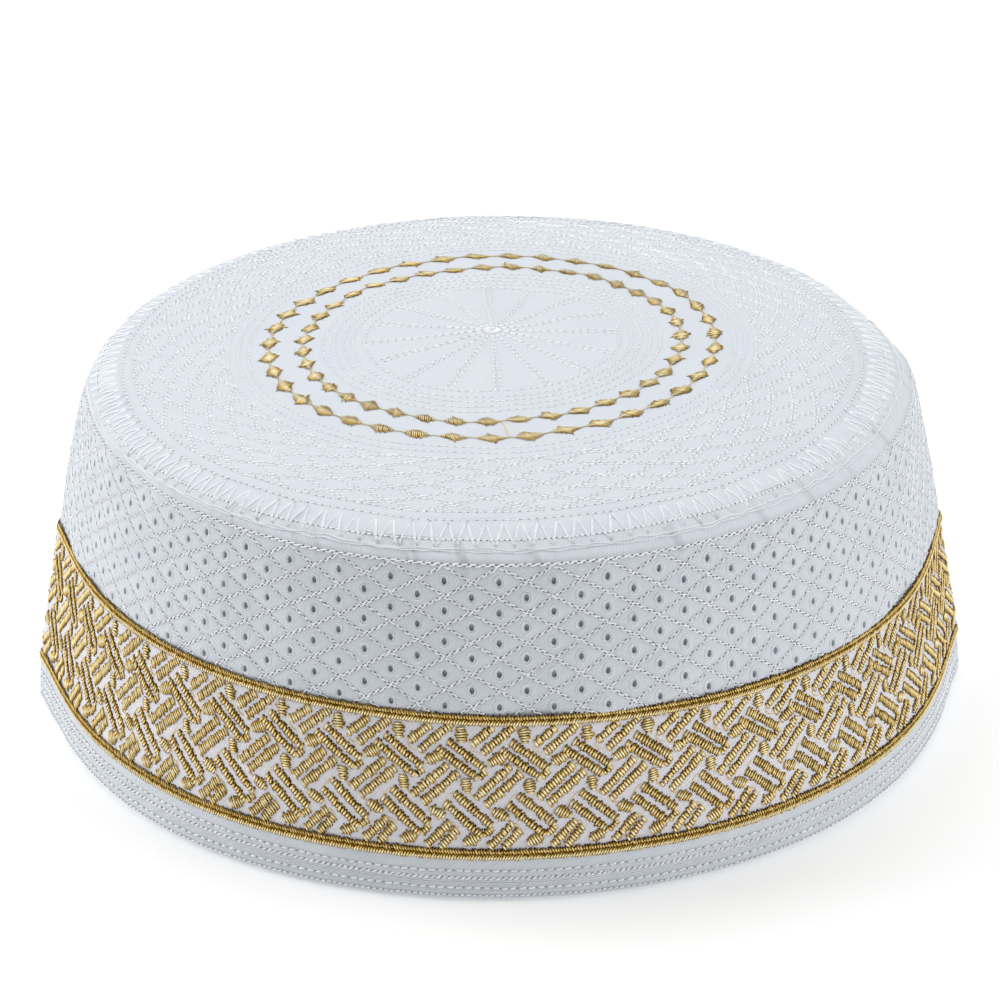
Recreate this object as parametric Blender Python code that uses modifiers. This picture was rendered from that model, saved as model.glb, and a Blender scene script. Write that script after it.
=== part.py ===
"""Embroidered prayer cap: a low white cotton cap that stands on its rim.

The rim is a lens, because the cap is kept folded flat and keeps two creases at its sides (+X and -X).
The crown is round. Between them the cloth wall is lofted, leaning inwards as it rises.
Metres, +Z up, origin at the middle of the rim on the surface that the cap rests on, creases on X.
"""

import math

import bmesh
import bpy
import numpy as np
from mathutils import Matrix, Vector

# Rim outline
RIM_HALF_WIDTH = 0.0940
RIM_HALF_DEPTH = 0.0866
CREASE_REACH = 0.0055
CREASE_SPREAD = math.radians(8.1)
CREASE_FADE = 0.4

# Heights of the strips, from the resting surface up
HEM_HEIGHT = 0.0112
BAND_DEPTH = 0.0278
LATTICE_DEPTH = 0.0330
SHOULDER_RISE = 0.0032
CROWN_RISE = 0.0073
BAND_HEIGHT = HEM_HEIGHT + BAND_DEPTH
LATTICE_HEIGHT = BAND_HEIGHT + LATTICE_DEPTH
SEAM_HEIGHT = LATTICE_HEIGHT + SHOULDER_RISE

# Round crown
SEAM_RADIUS = 0.0816
CROWN_SHIFT_X = -0.0015
CROWN_SHIFT_Y = 0.0015
CROWN_TILT = math.radians(0.4)
INNER_RING_RADIUS = 0.0391
RING_STEP = 0.0071
OUTER_RING_RADIUS = INNER_RING_RADIUS + RING_STEP

# Cloth and trim
CLOTH = 0.0016
HEM_CLOTH = 0.0027
HEM_PUFF = 0.0004
HEM_TRIM = 0.0006
GAP = 0.0003
SEAM_JOINT = GAP + CLOTH / 8
SEAM_ROW = 0.0007
UPPER_CORD = 0.0021
LOWER_CORD = 0.0024
CORD_STAND = 0.0002
BINDING_WIDTH = 0.0056
BINDING_CLOTH = 0.0007
DIAMOND_WIDTH = 0.0036
DIAMOND_NECK = 0.0008
DIAMOND_RISE = 0.0011
DIAMOND_NECK_RISE = 0.0005
DIAMONDS = 39

# Pierced eyelets of the quilted wall
EYELET_WIDTH = 0.0010
EYELET_HEIGHT = 0.0015
EYELETS_ROUND = 53
EYELET_FIRST_DROP = 0.0101
EYELET_ROW_PITCH = 0.0132
EYELET_ROWS = 2
EYELET_SIDES = 6

# Mesh steps
ROUND_STEPS = 64
STEP_CROWDING = 0.25
LENGTH_STEPS = 720
PROFILE_STEPS = 400
SLOPE_STEP = 1e-4

WALL_SECTIONS = (
    # (height as a share of SEAM_HEIGHT, lean as a share of the step from RIM_HALF_WIDTH to SEAM_RADIUS)
    (-0.020, -0.008),
    (0.000, 0.000),
    (0.132, 0.053),
    (0.330, 0.210),
    (0.535, 0.400),
    (0.750, 0.575),
    (0.880, 0.690),
    (0.958, 0.773),
)

CROWN_SECTIONS = (
    # (radius as a share of SEAM_RADIUS, rise as a share of CROWN_RISE)
    (1.000, 0.000),
    (0.955, 0.190),
    (0.860, 0.400),
    (0.700, 0.600),
    (0.560, 0.715),
    (0.400, 0.830),
    (0.200, 0.955),
    (0.000, 1.000),
)

# Radii of the crown's mesh rows inside its edge, as shares of SEAM_RADIUS
CROWN_ROWS = (0.93, 0.80, 0.57, 0.48, 0.22)

# Places of the seam tape's mesh rows, as shares of BINDING_WIDTH from its middle
BINDING_ROWS = (-0.5, -0.25, 0.0, 0.25, 0.5)

HEM_ROWS = (
    # (height as a share of HEM_HEIGHT, puff as a share of HEM_PUFF)
    (0.20, 1.0),
    (0.42, 0.0),
    (0.62, 1.0),
)

WHITE_COTTON = (0.78, 0.81, 0.85, 1.0)
BAND_COTTON = (0.76, 0.77, 0.81, 1.0)
WHITE_THREAD = (0.86, 0.88, 0.90, 1.0)
GOLD_THREAD = (0.45, 0.31, 0.10, 1.0)


def monotone_curve(steps, stations, values):
    """Values at steps on the monotone cubic through (stations, values)."""
    widths = np.diff(stations)
    slopes = np.diff(values) / widths
    tangents = np.zeros(len(values))
    tangents[0], tangents[-1] = slopes[0], slopes[-1]
    for index in range(1, len(values) - 1):
        before, after = slopes[index - 1], slopes[index]
        if before * after > 0:
            left = 2 * widths[index] + widths[index - 1]
            right = widths[index] + 2 * widths[index - 1]
            tangents[index] = (left + right) / (left / before + right / after)
    cell = np.clip(np.searchsorted(stations, steps, side="right") - 1, 0, len(widths) - 1)
    width = widths[cell]
    share = (steps - stations[cell]) / width
    rest = 1 - share
    start = values[cell] * rest**2 * (1 + 2 * share) + tangents[cell] * width * share * rest**2
    end = values[cell + 1] * share**2 * (3 - 2 * share) - tangents[cell + 1] * width * share**2 * rest
    return start + end


def section_profile():
    """The cap's front section: lengths along it, half-widths and heights."""
    wall = [
        (RIM_HALF_WIDTH + lean * (SEAM_RADIUS - RIM_HALF_WIDTH), height * SEAM_HEIGHT)
        for height, lean in WALL_SECTIONS
    ]
    crown = [
        (radius * SEAM_RADIUS, SEAM_HEIGHT + rise * CROWN_RISE)
        for radius, rise in CROWN_SECTIONS
    ]
    rows = np.array(wall + crown)
    stations = np.concatenate([[0.0], np.cumsum(np.hypot(*np.diff(rows, axis=0).T))])
    lengths = np.linspace(0.0, stations[-1], PROFILE_STEPS)
    return lengths, monotone_curve(lengths, stations, rows[:, 0]), monotone_curve(lengths, stations, rows[:, 1])


PROFILE_LENGTHS, PROFILE_WIDTHS, PROFILE_HEIGHTS = section_profile()


def length_at_height(height):
    """Length along the section where the wall reaches a height."""
    return float(np.interp(height, PROFILE_HEIGHTS, PROFILE_LENGTHS))


def length_at_radius(radius):
    """Length along the section where the crown narrows to a radius."""
    return float(np.interp(-radius, -PROFILE_WIDTHS, PROFILE_LENGTHS))


def cap_point(angle, length):
    """The point of the cloth's outer face at an angle about Z and a length up the section."""
    half_width = np.interp(length, PROFILE_LENGTHS, PROFILE_WIDTHS)
    height = np.interp(length, PROFILE_LENGTHS, PROFILE_HEIGHTS)
    risen = np.clip(height / SEAM_HEIGHT, 0.0, 1.0)
    flatness = RIM_HALF_DEPTH / RIM_HALF_WIDTH
    half_depth = half_width * (flatness + (1 - flatness) * risen)
    across, along = half_depth * np.cos(angle), half_width * np.sin(angle)
    oval = half_width * half_depth / np.maximum(np.hypot(across, along), SLOPE_STEP**2)
    from_crease = np.abs((angle + math.pi / 2) % math.pi - math.pi / 2)
    crease = CREASE_REACH * (1 - risen) ** CREASE_FADE * np.exp(-from_crease / CREASE_SPREAD)
    radius = oval + crease
    x, y = radius * np.cos(angle), radius * np.sin(angle)
    shoulder = np.clip((height - LATTICE_HEIGHT) / (SEAM_HEIGHT - LATTICE_HEIGHT), 0.0, 1.0)
    shoulder = shoulder * shoulder * (3 - 2 * shoulder)
    lift = shoulder * math.tan(CROWN_TILT) * x
    return np.stack([x + shoulder * CROWN_SHIFT_X, y + shoulder * CROWN_SHIFT_Y, height + lift], axis=-1)


def outward(angle, length):
    """The unit normal of the cloth, pointing out."""
    angle = np.asarray(angle, dtype=float)
    turn = SLOPE_STEP / SEAM_RADIUS
    around = cap_point(angle + turn, length) - cap_point(angle - turn, length)
    upward = cap_point(angle, length + SLOPE_STEP) - cap_point(angle, length - SLOPE_STEP)
    normal = np.cross(around, upward)
    return normal / np.linalg.norm(normal, axis=-1, keepdims=True)


def cloth_point(angle, length, lift=0.0):
    """A point at a height above the cloth's outer face, along its normal."""
    return cap_point(angle, length) + lift * outward(angle, length)


def round_angles(steps=ROUND_STEPS):
    """Angles once round the cap, closer together at the two creases."""
    even = np.arange(steps) * 2 * math.pi / steps
    return even - STEP_CROWDING * np.sin(2 * even)


def evenly_spaced_angles(length, count):
    """Angles of points at equal distances round the cap, half a step off the front."""
    angles = np.linspace(-math.pi / 2, 1.5 * math.pi, LENGTH_STEPS + 1)
    points = cap_point(angles, np.full(len(angles), length))
    travelled = np.concatenate([[0.0], np.cumsum(np.linalg.norm(np.diff(points, axis=0), axis=1))])
    return np.interp((np.arange(count) + 0.5) * travelled[-1] / count, travelled, angles)


def new_collection(name):
    """A collection linked to the scene."""
    collection = bpy.data.collections.new(name)
    bpy.context.scene.collection.children.link(collection)
    return collection


def cloth_material(name, colour, roughness, metallic=0.0):
    """A Principled material for cloth or thread."""
    material = bpy.data.materials.new(name)
    material.use_nodes = True
    shader = material.node_tree.nodes["Principled BSDF"]
    shader.inputs["Base Color"].default_value = colour
    shader.inputs["Roughness"].default_value = roughness
    shader.inputs["Metallic"].default_value = metallic
    return material


def add_object(name, mesh, material, collection):
    """Link a smooth-shaded mesh to a collection as a named object."""
    mesh.shade_smooth()
    mesh.set_sharp_from_angle(angle=math.radians(40))
    item = bpy.data.objects.new(name, mesh)
    item.data.materials.append(material)
    collection.objects.link(item)
    return item


def loft(name, rows, closed_section=False, tip=None):
    """A mesh that joins rows of points round the cap, with a fan to a tip point where one is given."""
    count = len(rows[0])
    points = [tuple(point) for row in rows for point in row]
    last = len(rows) if closed_section else len(rows) - 1
    faces = []
    for row in range(last):
        low, high = row * count, (row + 1) % len(rows) * count
        for step in range(count):
            after = (step + 1) % count
            faces.append((low + step, low + after, high + after, high + step))
    if tip is not None:
        points.append(tuple(tip))
        top = (len(rows) - 1) * count
        faces.extend((top + step, top + (step + 1) % count, len(points) - 1) for step in range(count))
    mesh = bpy.data.meshes.new(name)
    mesh.from_pydata(points, [], faces)
    return mesh


def add_solidify(item, thickness):
    """Thicken an outer face inwards into a cloth wall."""
    wall = item.modifiers.new("cloth", "SOLIDIFY")
    wall.thickness = thickness
    wall.offset = -1.0
    wall.use_even_offset = True
    return wall


def cut_with(item, cutter):
    """Take a cutter's shape out of an object."""
    cut = item.modifiers.new("cut", "BOOLEAN")
    cut.operation = "DIFFERENCE"
    cut.solver = "EXACT"
    cut.object = cutter


def hide_cutter(cutter):
    """Show a cutter as wire and keep it out of renders."""
    cutter.hide_render = True
    cutter.display_type = "WIRE"


def add_crown(collection, material):
    """The round quilted top, domed and a little off centre."""
    edge = length_at_height(SEAM_HEIGHT) + SEAM_JOINT
    lengths = [edge, edge + SEAM_ROW]
    lengths.extend(length_at_radius(share * SEAM_RADIUS) for share in CROWN_ROWS)
    angles = round_angles()
    rows = [cap_point(angles, np.full(len(angles), length)) for length in lengths]
    tip = cap_point(np.zeros(1), np.array([PROFILE_LENGTHS[-1]]))[0]
    item = add_object("crown_top", loft("crown_top", rows, tip=tip), material, collection)
    add_solidify(item, CLOTH)
    return item


def add_wall_strip(name, lengths, thickness, collection, material, lifts=None):
    """A strip of the cloth wall, as an outer face with a thickness."""
    angles = round_angles()
    lifts = lifts or [0.0] * len(lengths)
    rows = [
        cloth_point(angles, np.full(len(angles), length), lift)
        for length, lift in zip(lengths, lifts)
    ]
    item = add_object(name, loft(name, rows), material, collection)
    add_solidify(item, thickness)
    return item


def eyelet_cutter(collection):
    """Short oval pegs along the cloth's normal, joined in one mesh."""
    pegs = bmesh.new()
    top = length_at_height(LATTICE_HEIGHT)
    for row in range(EYELET_ROWS):
        length = top - EYELET_FIRST_DROP - row * EYELET_ROW_PITCH
        for angle in evenly_spaced_angles(length, EYELETS_ROUND):
            where = Vector(cloth_point(np.array([angle]), np.array([length]), -CLOTH / 2)[0])
            normal = Vector(outward(np.array([angle]), np.array([length]))[0])
            sideways = Vector((0, 0, 1)).cross(normal).normalized()
            frame = Matrix((sideways, normal.cross(sideways), normal)).transposed().to_4x4()
            oval = Matrix.Diagonal((EYELET_WIDTH, EYELET_HEIGHT, 1.0, 1.0))
            bmesh.ops.create_cone(
                pegs,
                cap_ends=True,
                segments=EYELET_SIDES,
                radius1=0.5,
                radius2=0.5,
                depth=3 * CLOTH,
                matrix=Matrix.Translation(where) @ frame @ oval,
            )
    mesh = bpy.data.meshes.new("eyelet_cutter")
    pegs.to_mesh(mesh)
    pegs.free()
    cutter = bpy.data.objects.new("eyelet_cutter", mesh)
    collection.objects.link(cutter)
    hide_cutter(cutter)
    return cutter


def add_quilted_wall(collection, cutters, material):
    """The tall pierced wall between the upper cord and the crown seam."""
    low = length_at_height(BAND_HEIGHT) + UPPER_CORD / 2 + GAP
    high = length_at_height(SEAM_HEIGHT) - SEAM_JOINT
    top = length_at_height(LATTICE_HEIGHT)
    middle = (low + top) / 2
    lengths = [low, middle, top, high - SEAM_ROW, high]
    item = add_wall_strip("quilted_wall", lengths, CLOTH, collection, material)
    cut_with(item, eyelet_cutter(cutters))
    return item


def add_embroidered_band(collection, material):
    """The strip that carries the woven gold bars, between the two cords."""
    low = length_at_height(HEM_HEIGHT) + LOWER_CORD / 2 + GAP
    high = length_at_height(BAND_HEIGHT) - UPPER_CORD / 2 - GAP
    return add_wall_strip("embroidered_band", [low, (low + high) / 2, high], CLOTH, collection, material)


def add_hem(collection, cutters, material):
    """The folded hem, with two soft ribs and a flat underside to rest on."""
    high = length_at_height(HEM_HEIGHT) - LOWER_CORD / 2 - GAP
    lengths = [length_at_height(-HEM_TRIM)]
    lengths.extend(length_at_height(height * HEM_HEIGHT) for height, puff in HEM_ROWS)
    lifts = [0.0] + [puff * HEM_PUFF for height, puff in HEM_ROWS]
    item = add_wall_strip("hem_band", lengths + [high], HEM_CLOTH, collection, material, lifts + [0.0])
    bpy.ops.mesh.primitive_cube_add(size=1.0, location=(0, 0, -SEAM_HEIGHT / 2))
    cutter = bpy.context.object
    cutter.name = "rest_plane_cutter"
    cutter.dimensions = (4 * RIM_HALF_WIDTH, 4 * RIM_HALF_DEPTH, SEAM_HEIGHT)
    for owner in cutter.users_collection:
        owner.objects.unlink(cutter)
    cutters.objects.link(cutter)
    hide_cutter(cutter)
    cut_with(item, cutter)
    return item


def add_cord(name, height, diameter, collection, material):
    """A gold cord laid round the cap in the joint between two strips."""
    angles = round_angles()
    length = length_at_height(height)
    points = cloth_point(angles, np.full(len(angles), length), CORD_STAND)
    curve = bpy.data.curves.new(name, "CURVE")
    curve.dimensions = "3D"
    curve.bevel_depth = diameter / 2
    curve.bevel_resolution = 1
    spline = curve.splines.new("POLY")
    spline.points.add(len(points) - 1)
    for place, point in zip(spline.points, points):
        place.co = (*point, 1.0)
    spline.use_cyclic_u = True
    spline.use_smooth = True
    item = bpy.data.objects.new(name, curve)
    item.data.materials.append(material)
    collection.objects.link(item)
    return item


def add_seam_binding(collection, material):
    """The stitched tape over the joint of the crown and the wall."""
    seam = length_at_height(SEAM_HEIGHT)
    lengths = [seam + share * BINDING_WIDTH for share in BINDING_ROWS]
    lifts = [GAP + BINDING_CLOTH] * len(lengths)
    return add_wall_strip("seam_binding", lengths, BINDING_CLOTH, collection, material, lifts)


def add_diamond_ring(name, radius, collection, material):
    """A ring of gold diamonds that meet at their points, raised along their middles."""
    even = np.arange(2 * DIAMONDS) * math.pi / DIAMONDS
    wide = np.arange(2 * DIAMONDS) % 2 == 0
    half = np.where(wide, DIAMOND_WIDTH, DIAMOND_NECK) / 2
    crest = GAP + np.where(wide, DIAMOND_RISE, DIAMOND_NECK_RISE)
    middle = np.full(len(even), length_at_radius(radius))
    rows = []
    for side, rise in ((-1, GAP), (0, crest), (1, GAP)):
        lift = np.broadcast_to(rise, even.shape)[:, None]
        rows.append(cap_point(even, middle + side * half) + lift * outward(even, middle + side * half))
    return add_object(name, loft(name, rows, closed_section=True), material, collection)


def clear_scene():
    """Remove the objects that a new file starts with."""
    for item in list(bpy.data.objects):
        bpy.data.objects.remove(item, do_unlink=True)


def main():
    """Build the cap, one object for each piece."""
    clear_scene()
    cap = new_collection("prayer_cap")
    cutters = new_collection("cutters")
    cotton = cloth_material("white_cotton", WHITE_COTTON, 0.85)
    band_cotton = cloth_material("band_cotton", BAND_COTTON, 0.85)
    hem_cotton = cloth_material("hem_cotton", WHITE_COTTON, 0.80)
    crown_cotton = cloth_material("crown_cotton", WHITE_COTTON, 0.80)
    thread = cloth_material("white_thread", WHITE_THREAD, 0.55)
    gold = cloth_material("gold_thread", GOLD_THREAD, 0.38, 0.6)
    add_crown(cap, crown_cotton)
    add_quilted_wall(cap, cutters, cotton)
    add_embroidered_band(cap, band_cotton)
    add_hem(cap, cutters, hem_cotton)
    add_cord("upper_cord", BAND_HEIGHT, UPPER_CORD, cap, gold)
    add_cord("lower_cord", HEM_HEIGHT, LOWER_CORD, cap, gold)
    add_seam_binding(cap, thread)
    add_diamond_ring("diamond_ring_inner", INNER_RING_RADIUS, cap, gold)
    add_diamond_ring("diamond_ring_outer", OUTER_RING_RADIUS, cap, gold)


main()
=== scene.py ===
"""Prayer cap: quilted white cotton with a pierced wall and gold basket embroidery, in a plain studio."""

import logging
import math
from abc import ABC, abstractmethod
from collections.abc import Callable, Sequence
from dataclasses import dataclass, field, replace
from enum import Enum
from functools import cached_property

import bpy
import numpy as np
from mathutils import Matrix, Vector


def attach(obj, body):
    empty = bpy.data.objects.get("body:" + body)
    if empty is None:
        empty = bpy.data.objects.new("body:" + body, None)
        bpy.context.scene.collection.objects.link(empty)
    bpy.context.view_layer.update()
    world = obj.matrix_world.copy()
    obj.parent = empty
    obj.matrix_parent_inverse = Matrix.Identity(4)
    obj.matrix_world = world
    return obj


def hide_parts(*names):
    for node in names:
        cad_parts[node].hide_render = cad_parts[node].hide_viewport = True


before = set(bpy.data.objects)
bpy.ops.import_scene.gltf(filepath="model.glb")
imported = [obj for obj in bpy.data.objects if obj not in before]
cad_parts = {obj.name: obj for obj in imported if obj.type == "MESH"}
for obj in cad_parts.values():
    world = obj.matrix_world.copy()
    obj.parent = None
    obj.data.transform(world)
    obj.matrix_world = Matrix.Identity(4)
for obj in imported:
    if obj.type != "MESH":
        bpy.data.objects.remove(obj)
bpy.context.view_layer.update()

Array = np.ndarray
Colour = tuple[float, float, float, float]
Relief = Callable[[Array, Array], Array]

MM = 0.001
TURN = 2 * math.pi
FRONT = -math.pi / 2
LOG = logging.getLogger("prayer_cap")


class Slot(Enum):
    """The material slots, one for each finish."""

    WHITE_COTTON = "white_cotton"
    WHITE_THREAD = "white_thread"
    BAND_COTTON = "band_cotton"
    GOLD_THREAD = "gold_thread"


def smoothstep(low: float, high: float, value: Array) -> Array:
    """A soft step from 0 at low to 1 at high."""
    share = np.clip((value - low) / (high - low), 0.0, 1.0)
    return share * share * (3 - 2 * share)


def bell(distance: Array, width: float) -> Array:
    """A soft hump, 1 at no distance and nearly 0 at twice the width."""
    return np.exp(-((distance / width) ** 2))


def to_line(phase: Array) -> Array:
    """How far a phase is from the nearest half number, from 0 to 0.5."""
    return np.abs(phase - np.round(phase - 0.5) - 0.5)


def plan_vectors(x: Array, y: Array) -> Array:
    """Places on a plan as vectors, with 0 for their third number."""
    return np.stack([x, y, np.zeros_like(x)], axis=-1)


def polar(radius: Array | float, turn: Array | float) -> Array:
    """Places on a plan at a radius and a turn about its middle."""
    return np.stack([radius * np.cos(turn), radius * np.sin(turn)], axis=-1)


def travelled_along(line: Array) -> Array:
    """The distance along a line on a plan, at each of its points."""
    return np.concatenate([[0.0], np.cumsum(np.hypot(*np.diff(line, axis=0).T))])


def read_at(table: Array, travelled: Array, station: Array) -> Array:
    """The rows of a table that belongs to a line's points, read at distances along the line."""
    return np.stack([np.interp(station, travelled, column) for column in table.T], axis=-1)


def nearest_way(gap: Array, girth: float) -> Array:
    """A distance round the cap, counted the shorter way."""
    return (gap + girth / 2) % girth - girth / 2


def even_steps(stops: Sequence[float], pitch: float) -> Array:
    """Values that pass through every stop, no more than a pitch apart.

    Args:
        stops: The values that have to be in the list, in order.
        pitch: The largest step between two values.

    Returns:
        The stops with even steps between them.
    """
    values = [stops[0]]
    for start, end in zip(stops[:-1], stops[1:]):
        count = max(1, math.ceil(abs(end - start) / pitch - 1e-6))
        values.extend(start + (end - start) * (step + 1) / count for step in range(count))
    return np.array(values)


def monotone_curve(steps: Array, stations: Array, values: Array) -> Array:
    """Values on the monotone cubic through (stations, values).

    Args:
        steps: Where the curve is read.
        stations: Places of the given values, rising.
        values: The values at the stations.

    Returns:
        The curve's value at each step.
    """
    widths = np.diff(stations)
    slopes = np.diff(values) / widths
    tangents = np.zeros(len(values))
    tangents[0], tangents[-1] = slopes[0], slopes[-1]
    for index in range(1, len(values) - 1):
        before, after = slopes[index - 1], slopes[index]
        if before * after > 0:
            left = 2 * widths[index] + widths[index - 1]
            right = widths[index] + 2 * widths[index - 1]
            tangents[index] = (left + right) / (left / before + right / after)
    cell = np.clip(np.searchsorted(stations, steps, side="right") - 1, 0, len(widths) - 1)
    share = (steps - stations[cell]) / widths[cell]
    rest = 1 - share
    start = values[cell] * rest**2 * (1 + 2 * share) + tangents[cell] * widths[cell] * share * rest**2
    end = values[cell + 1] * share**2 * (3 - 2 * share)
    return start + end - tangents[cell + 1] * widths[cell] * share**2 * rest


@dataclass(frozen=True)
class CapForm:
    """The outer face of the cap's cloth, by angle round the cap and length up its section."""

    rim_half_width: float = 94.0 * MM
    rim_half_depth: float = 86.6 * MM
    crease_reach: float = 5.5 * MM
    crease_spread: float = math.radians(8.1)
    crease_fade: float = 0.4
    shoulder_height: float = 72.0 * MM
    seam_height: float = 75.2 * MM
    crown_rise: float = 7.3 * MM
    seam_radius: float = 81.6 * MM
    crown_shift: tuple[float, float] = (-1.5 * MM, 1.5 * MM)
    crown_tilt: float = math.radians(0.4)
    slope_step: float = 0.1 * MM
    profile_steps: int = 400
    wall_sections: tuple[tuple[float, float], ...] = (
        (-0.020, -0.008), (0.000, 0.000), (0.132, 0.053), (0.330, 0.210),
        (0.535, 0.400), (0.750, 0.575), (0.880, 0.690), (0.958, 0.773),
    )
    crown_sections: tuple[tuple[float, float], ...] = (
        (1.000, 0.000), (0.955, 0.190), (0.860, 0.400), (0.700, 0.600),
        (0.560, 0.715), (0.400, 0.830), (0.200, 0.955), (0.000, 1.000),
    )

    @cached_property
    def profile(self) -> tuple[Array, Array, Array]:
        """Lengths along the front section, with its half-widths and heights."""
        lean = self.seam_radius - self.rim_half_width
        wall = [
            (self.rim_half_width + share * lean, height * self.seam_height)
            for height, share in self.wall_sections
        ]
        crown = [
            (radius * self.seam_radius, self.seam_height + rise * self.crown_rise)
            for radius, rise in self.crown_sections
        ]
        rows = np.array(wall + crown)
        stations = travelled_along(rows)
        lengths = np.linspace(0.0, stations[-1], self.profile_steps)
        widths = monotone_curve(lengths, stations, rows[:, 0])
        heights = monotone_curve(lengths, stations, rows[:, 1])
        return lengths - np.interp(0.0, heights, lengths), widths, heights

    def length_at_radius(self, radius: Array) -> Array:
        """Length from the rim to where the crown narrows to a radius."""
        lengths, widths, _ = self.profile
        return np.interp(-radius, -widths, lengths)

    def point(self, angle: Array, length: Array) -> Array:
        """Points of the cloth's outer face.

        Args:
            angle: Angle about Z, with the front at -90 degrees.
            length: Length up the section from the rim.

        Returns:
            One point for each angle and length.
        """
        lengths, widths, heights = self.profile
        half_width = np.interp(length, lengths, widths)
        height = np.interp(length, lengths, heights)
        risen = np.clip(height / self.seam_height, 0.0, 1.0)
        flatness = self.rim_half_depth / self.rim_half_width
        half_depth = half_width * (flatness + (1 - flatness) * risen)
        reach = np.hypot(half_depth * np.cos(angle), half_width * np.sin(angle))
        oval = half_width * half_depth / np.maximum(reach, self.slope_step**2)
        from_crease = np.abs((angle + math.pi / 2) % math.pi - math.pi / 2)
        fading = (1 - risen) ** self.crease_fade
        crease = self.crease_reach * fading * np.exp(-from_crease / self.crease_spread)
        x, y = (oval + crease) * np.cos(angle), (oval + crease) * np.sin(angle)
        shoulder = smoothstep(self.shoulder_height, self.seam_height, height)
        lift = shoulder * math.tan(self.crown_tilt) * x
        shift_x, shift_y = self.crown_shift
        return np.stack([x + shoulder * shift_x, y + shoulder * shift_y, height + lift], axis=-1)

    def normal(self, angle: Array, length: Array) -> Array:
        """The cloth's unit normals, pointing out, at each angle and length."""
        turn = self.slope_step / self.seam_radius
        step = self.slope_step
        around = self.point(angle + turn, length) - self.point(angle - turn, length)
        upward = self.point(angle, length + step) - self.point(angle, length - step)
        normal = np.cross(around, upward)
        return normal / np.maximum(np.linalg.norm(normal, axis=-1, keepdims=True), step**4)


class Chart(ABC):
    """A flat plan of part of the cloth, on which patterns are drawn."""

    def __init__(self, form: CapForm) -> None:
        """Keep the form that the plan is wrapped on."""
        self.form = form

    @abstractmethod
    def spots(self, across: Array, along: Array) -> tuple[Array, Array]:
        """The angles and lengths of places on the plan."""

    def lifted(self, across: Array, along: Array, lift: Array | float) -> tuple[Array, Array]:
        """Points above the cloth.

        Args:
            across: First coordinates on the plan.
            along: Second coordinates on the plan.
            lift: Height above the cloth's outer face.

        Returns:
            The points and the cloth's normals there.
        """
        angle, length = self.spots(across, along)
        normal = self.form.normal(angle, length)
        return self.form.point(angle, length) + np.asarray(lift)[..., None] * normal, normal

    def add_cloth(
        self, store: "MeshStore", x: Array, y: Array, lift: Array | float, **values: Array | float
    ) -> Array:
        """Add points above the cloth to a mesh, each with its place on the plan.

        Args:
            store: The mesh that is gathered.
            x: First coordinates on the plan.
            y: Second coordinates on the plan.
            lift: Height above the cloth's outer face.
            values: Other named values at the points.

        Returns:
            The indices of the points, in the plan's layout.
        """
        points, _ = self.lifted(x, y, lift)
        return store.add_points(points, place=plan_vectors(x, y), **values)


class WallChart(Chart):
    """The wall unrolled: distance round the cap from the front, and length up from the rim.

    Its levels are those of the lower cord, the upper cord and the top line of the pierced cells.
    """

    low_level = 10.8 * MM
    cord_level = 40.1 * MM
    top_level = 72.75 * MM
    lean_sideways = -1.65 * MM
    lean_back = -0.55 * MM
    steps = 1440

    @cached_property
    def round_table(self) -> tuple[Array, Array]:
        """Angles once round the cap and the distance from the front to each."""
        angles = np.linspace(FRONT - math.pi, FRONT + math.pi, self.steps + 1)
        points = self.form.point(angles, np.full(len(angles), self.cord_level))
        travelled = np.concatenate([[0.0], np.cumsum(np.linalg.norm(np.diff(points, axis=0), axis=1))])
        return angles, travelled - travelled[self.steps // 2]

    @cached_property
    def girth(self) -> float:
        """The distance once round the cap at the upper cord."""
        _, travelled = self.round_table
        return float(travelled[-1] - travelled[0])

    @cached_property
    def creases(self) -> Array:
        """Where the two side creases are, left and right of the front."""
        angles, travelled = self.round_table
        return np.interp([-math.pi, 0.0], angles, travelled)

    def clear_of_creases(self, across: Array, pinch: float) -> Array:
        """Which places are more than a pinch away from both side creases."""
        away = nearest_way(across[..., None] - self.creases, self.girth)
        return np.abs(away).min(axis=-1) > pinch

    def columns_at(self, count: int) -> Array:
        """Evenly spread places once round the plan, from the back."""
        return (np.arange(count) / count - 0.5) * self.girth

    def level_line(self, level: float, stations: int = 721) -> Array:
        """A line once round the plan at one level, from the back to the back."""
        around = np.linspace(-0.5, 0.5, stations) * self.girth
        return np.stack([around, np.full(stations, level)], axis=-1)

    def spots(self, across: Array, along: Array) -> tuple[Array, Array]:
        """The angles and lengths of places on the plan, which leans a little round the upper cord."""
        angles, travelled = self.round_table
        turns = np.round(across / self.girth)
        angle = np.interp(across - turns * self.girth, travelled, angles)
        lean = self.lean_back * (1 + np.sin(angle)) + self.lean_sideways * np.cos(angle)
        rising = (along - self.low_level) / (self.cord_level - self.low_level)
        falling = (self.top_level - along) / (self.top_level - self.cord_level)
        return angle + turns * TURN, along + lean * np.clip(np.minimum(rising, falling), 0.0, 1.0)


class CrownChart(Chart):
    """The crown seen from above, centred on its middle, with its patterns sewn a little out of true."""

    drift_radii = (0.0, 12 * MM, 26.3 * MM, 39 * MM, 46 * MM, 60 * MM, 74 * MM)
    drifts = (0.3 * MM, -1.0 * MM, -2.0 * MM, -1.5 * MM, -1.1 * MM, -0.5 * MM, 0.0)
    slant = 0.0315
    slant_fade = (50 * MM, 76 * MM)

    def spots(self, across: Array, along: Array) -> tuple[Array, Array]:
        """The angles and lengths of places on the plan."""
        radius = np.hypot(across, along)
        slanted = self.slant * across * (1 - smoothstep(*self.slant_fade, radius))
        along = along + np.interp(radius, self.drift_radii, self.drifts) + slanted
        return np.arctan2(along, across), self.form.length_at_radius(np.hypot(across, along))


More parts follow.
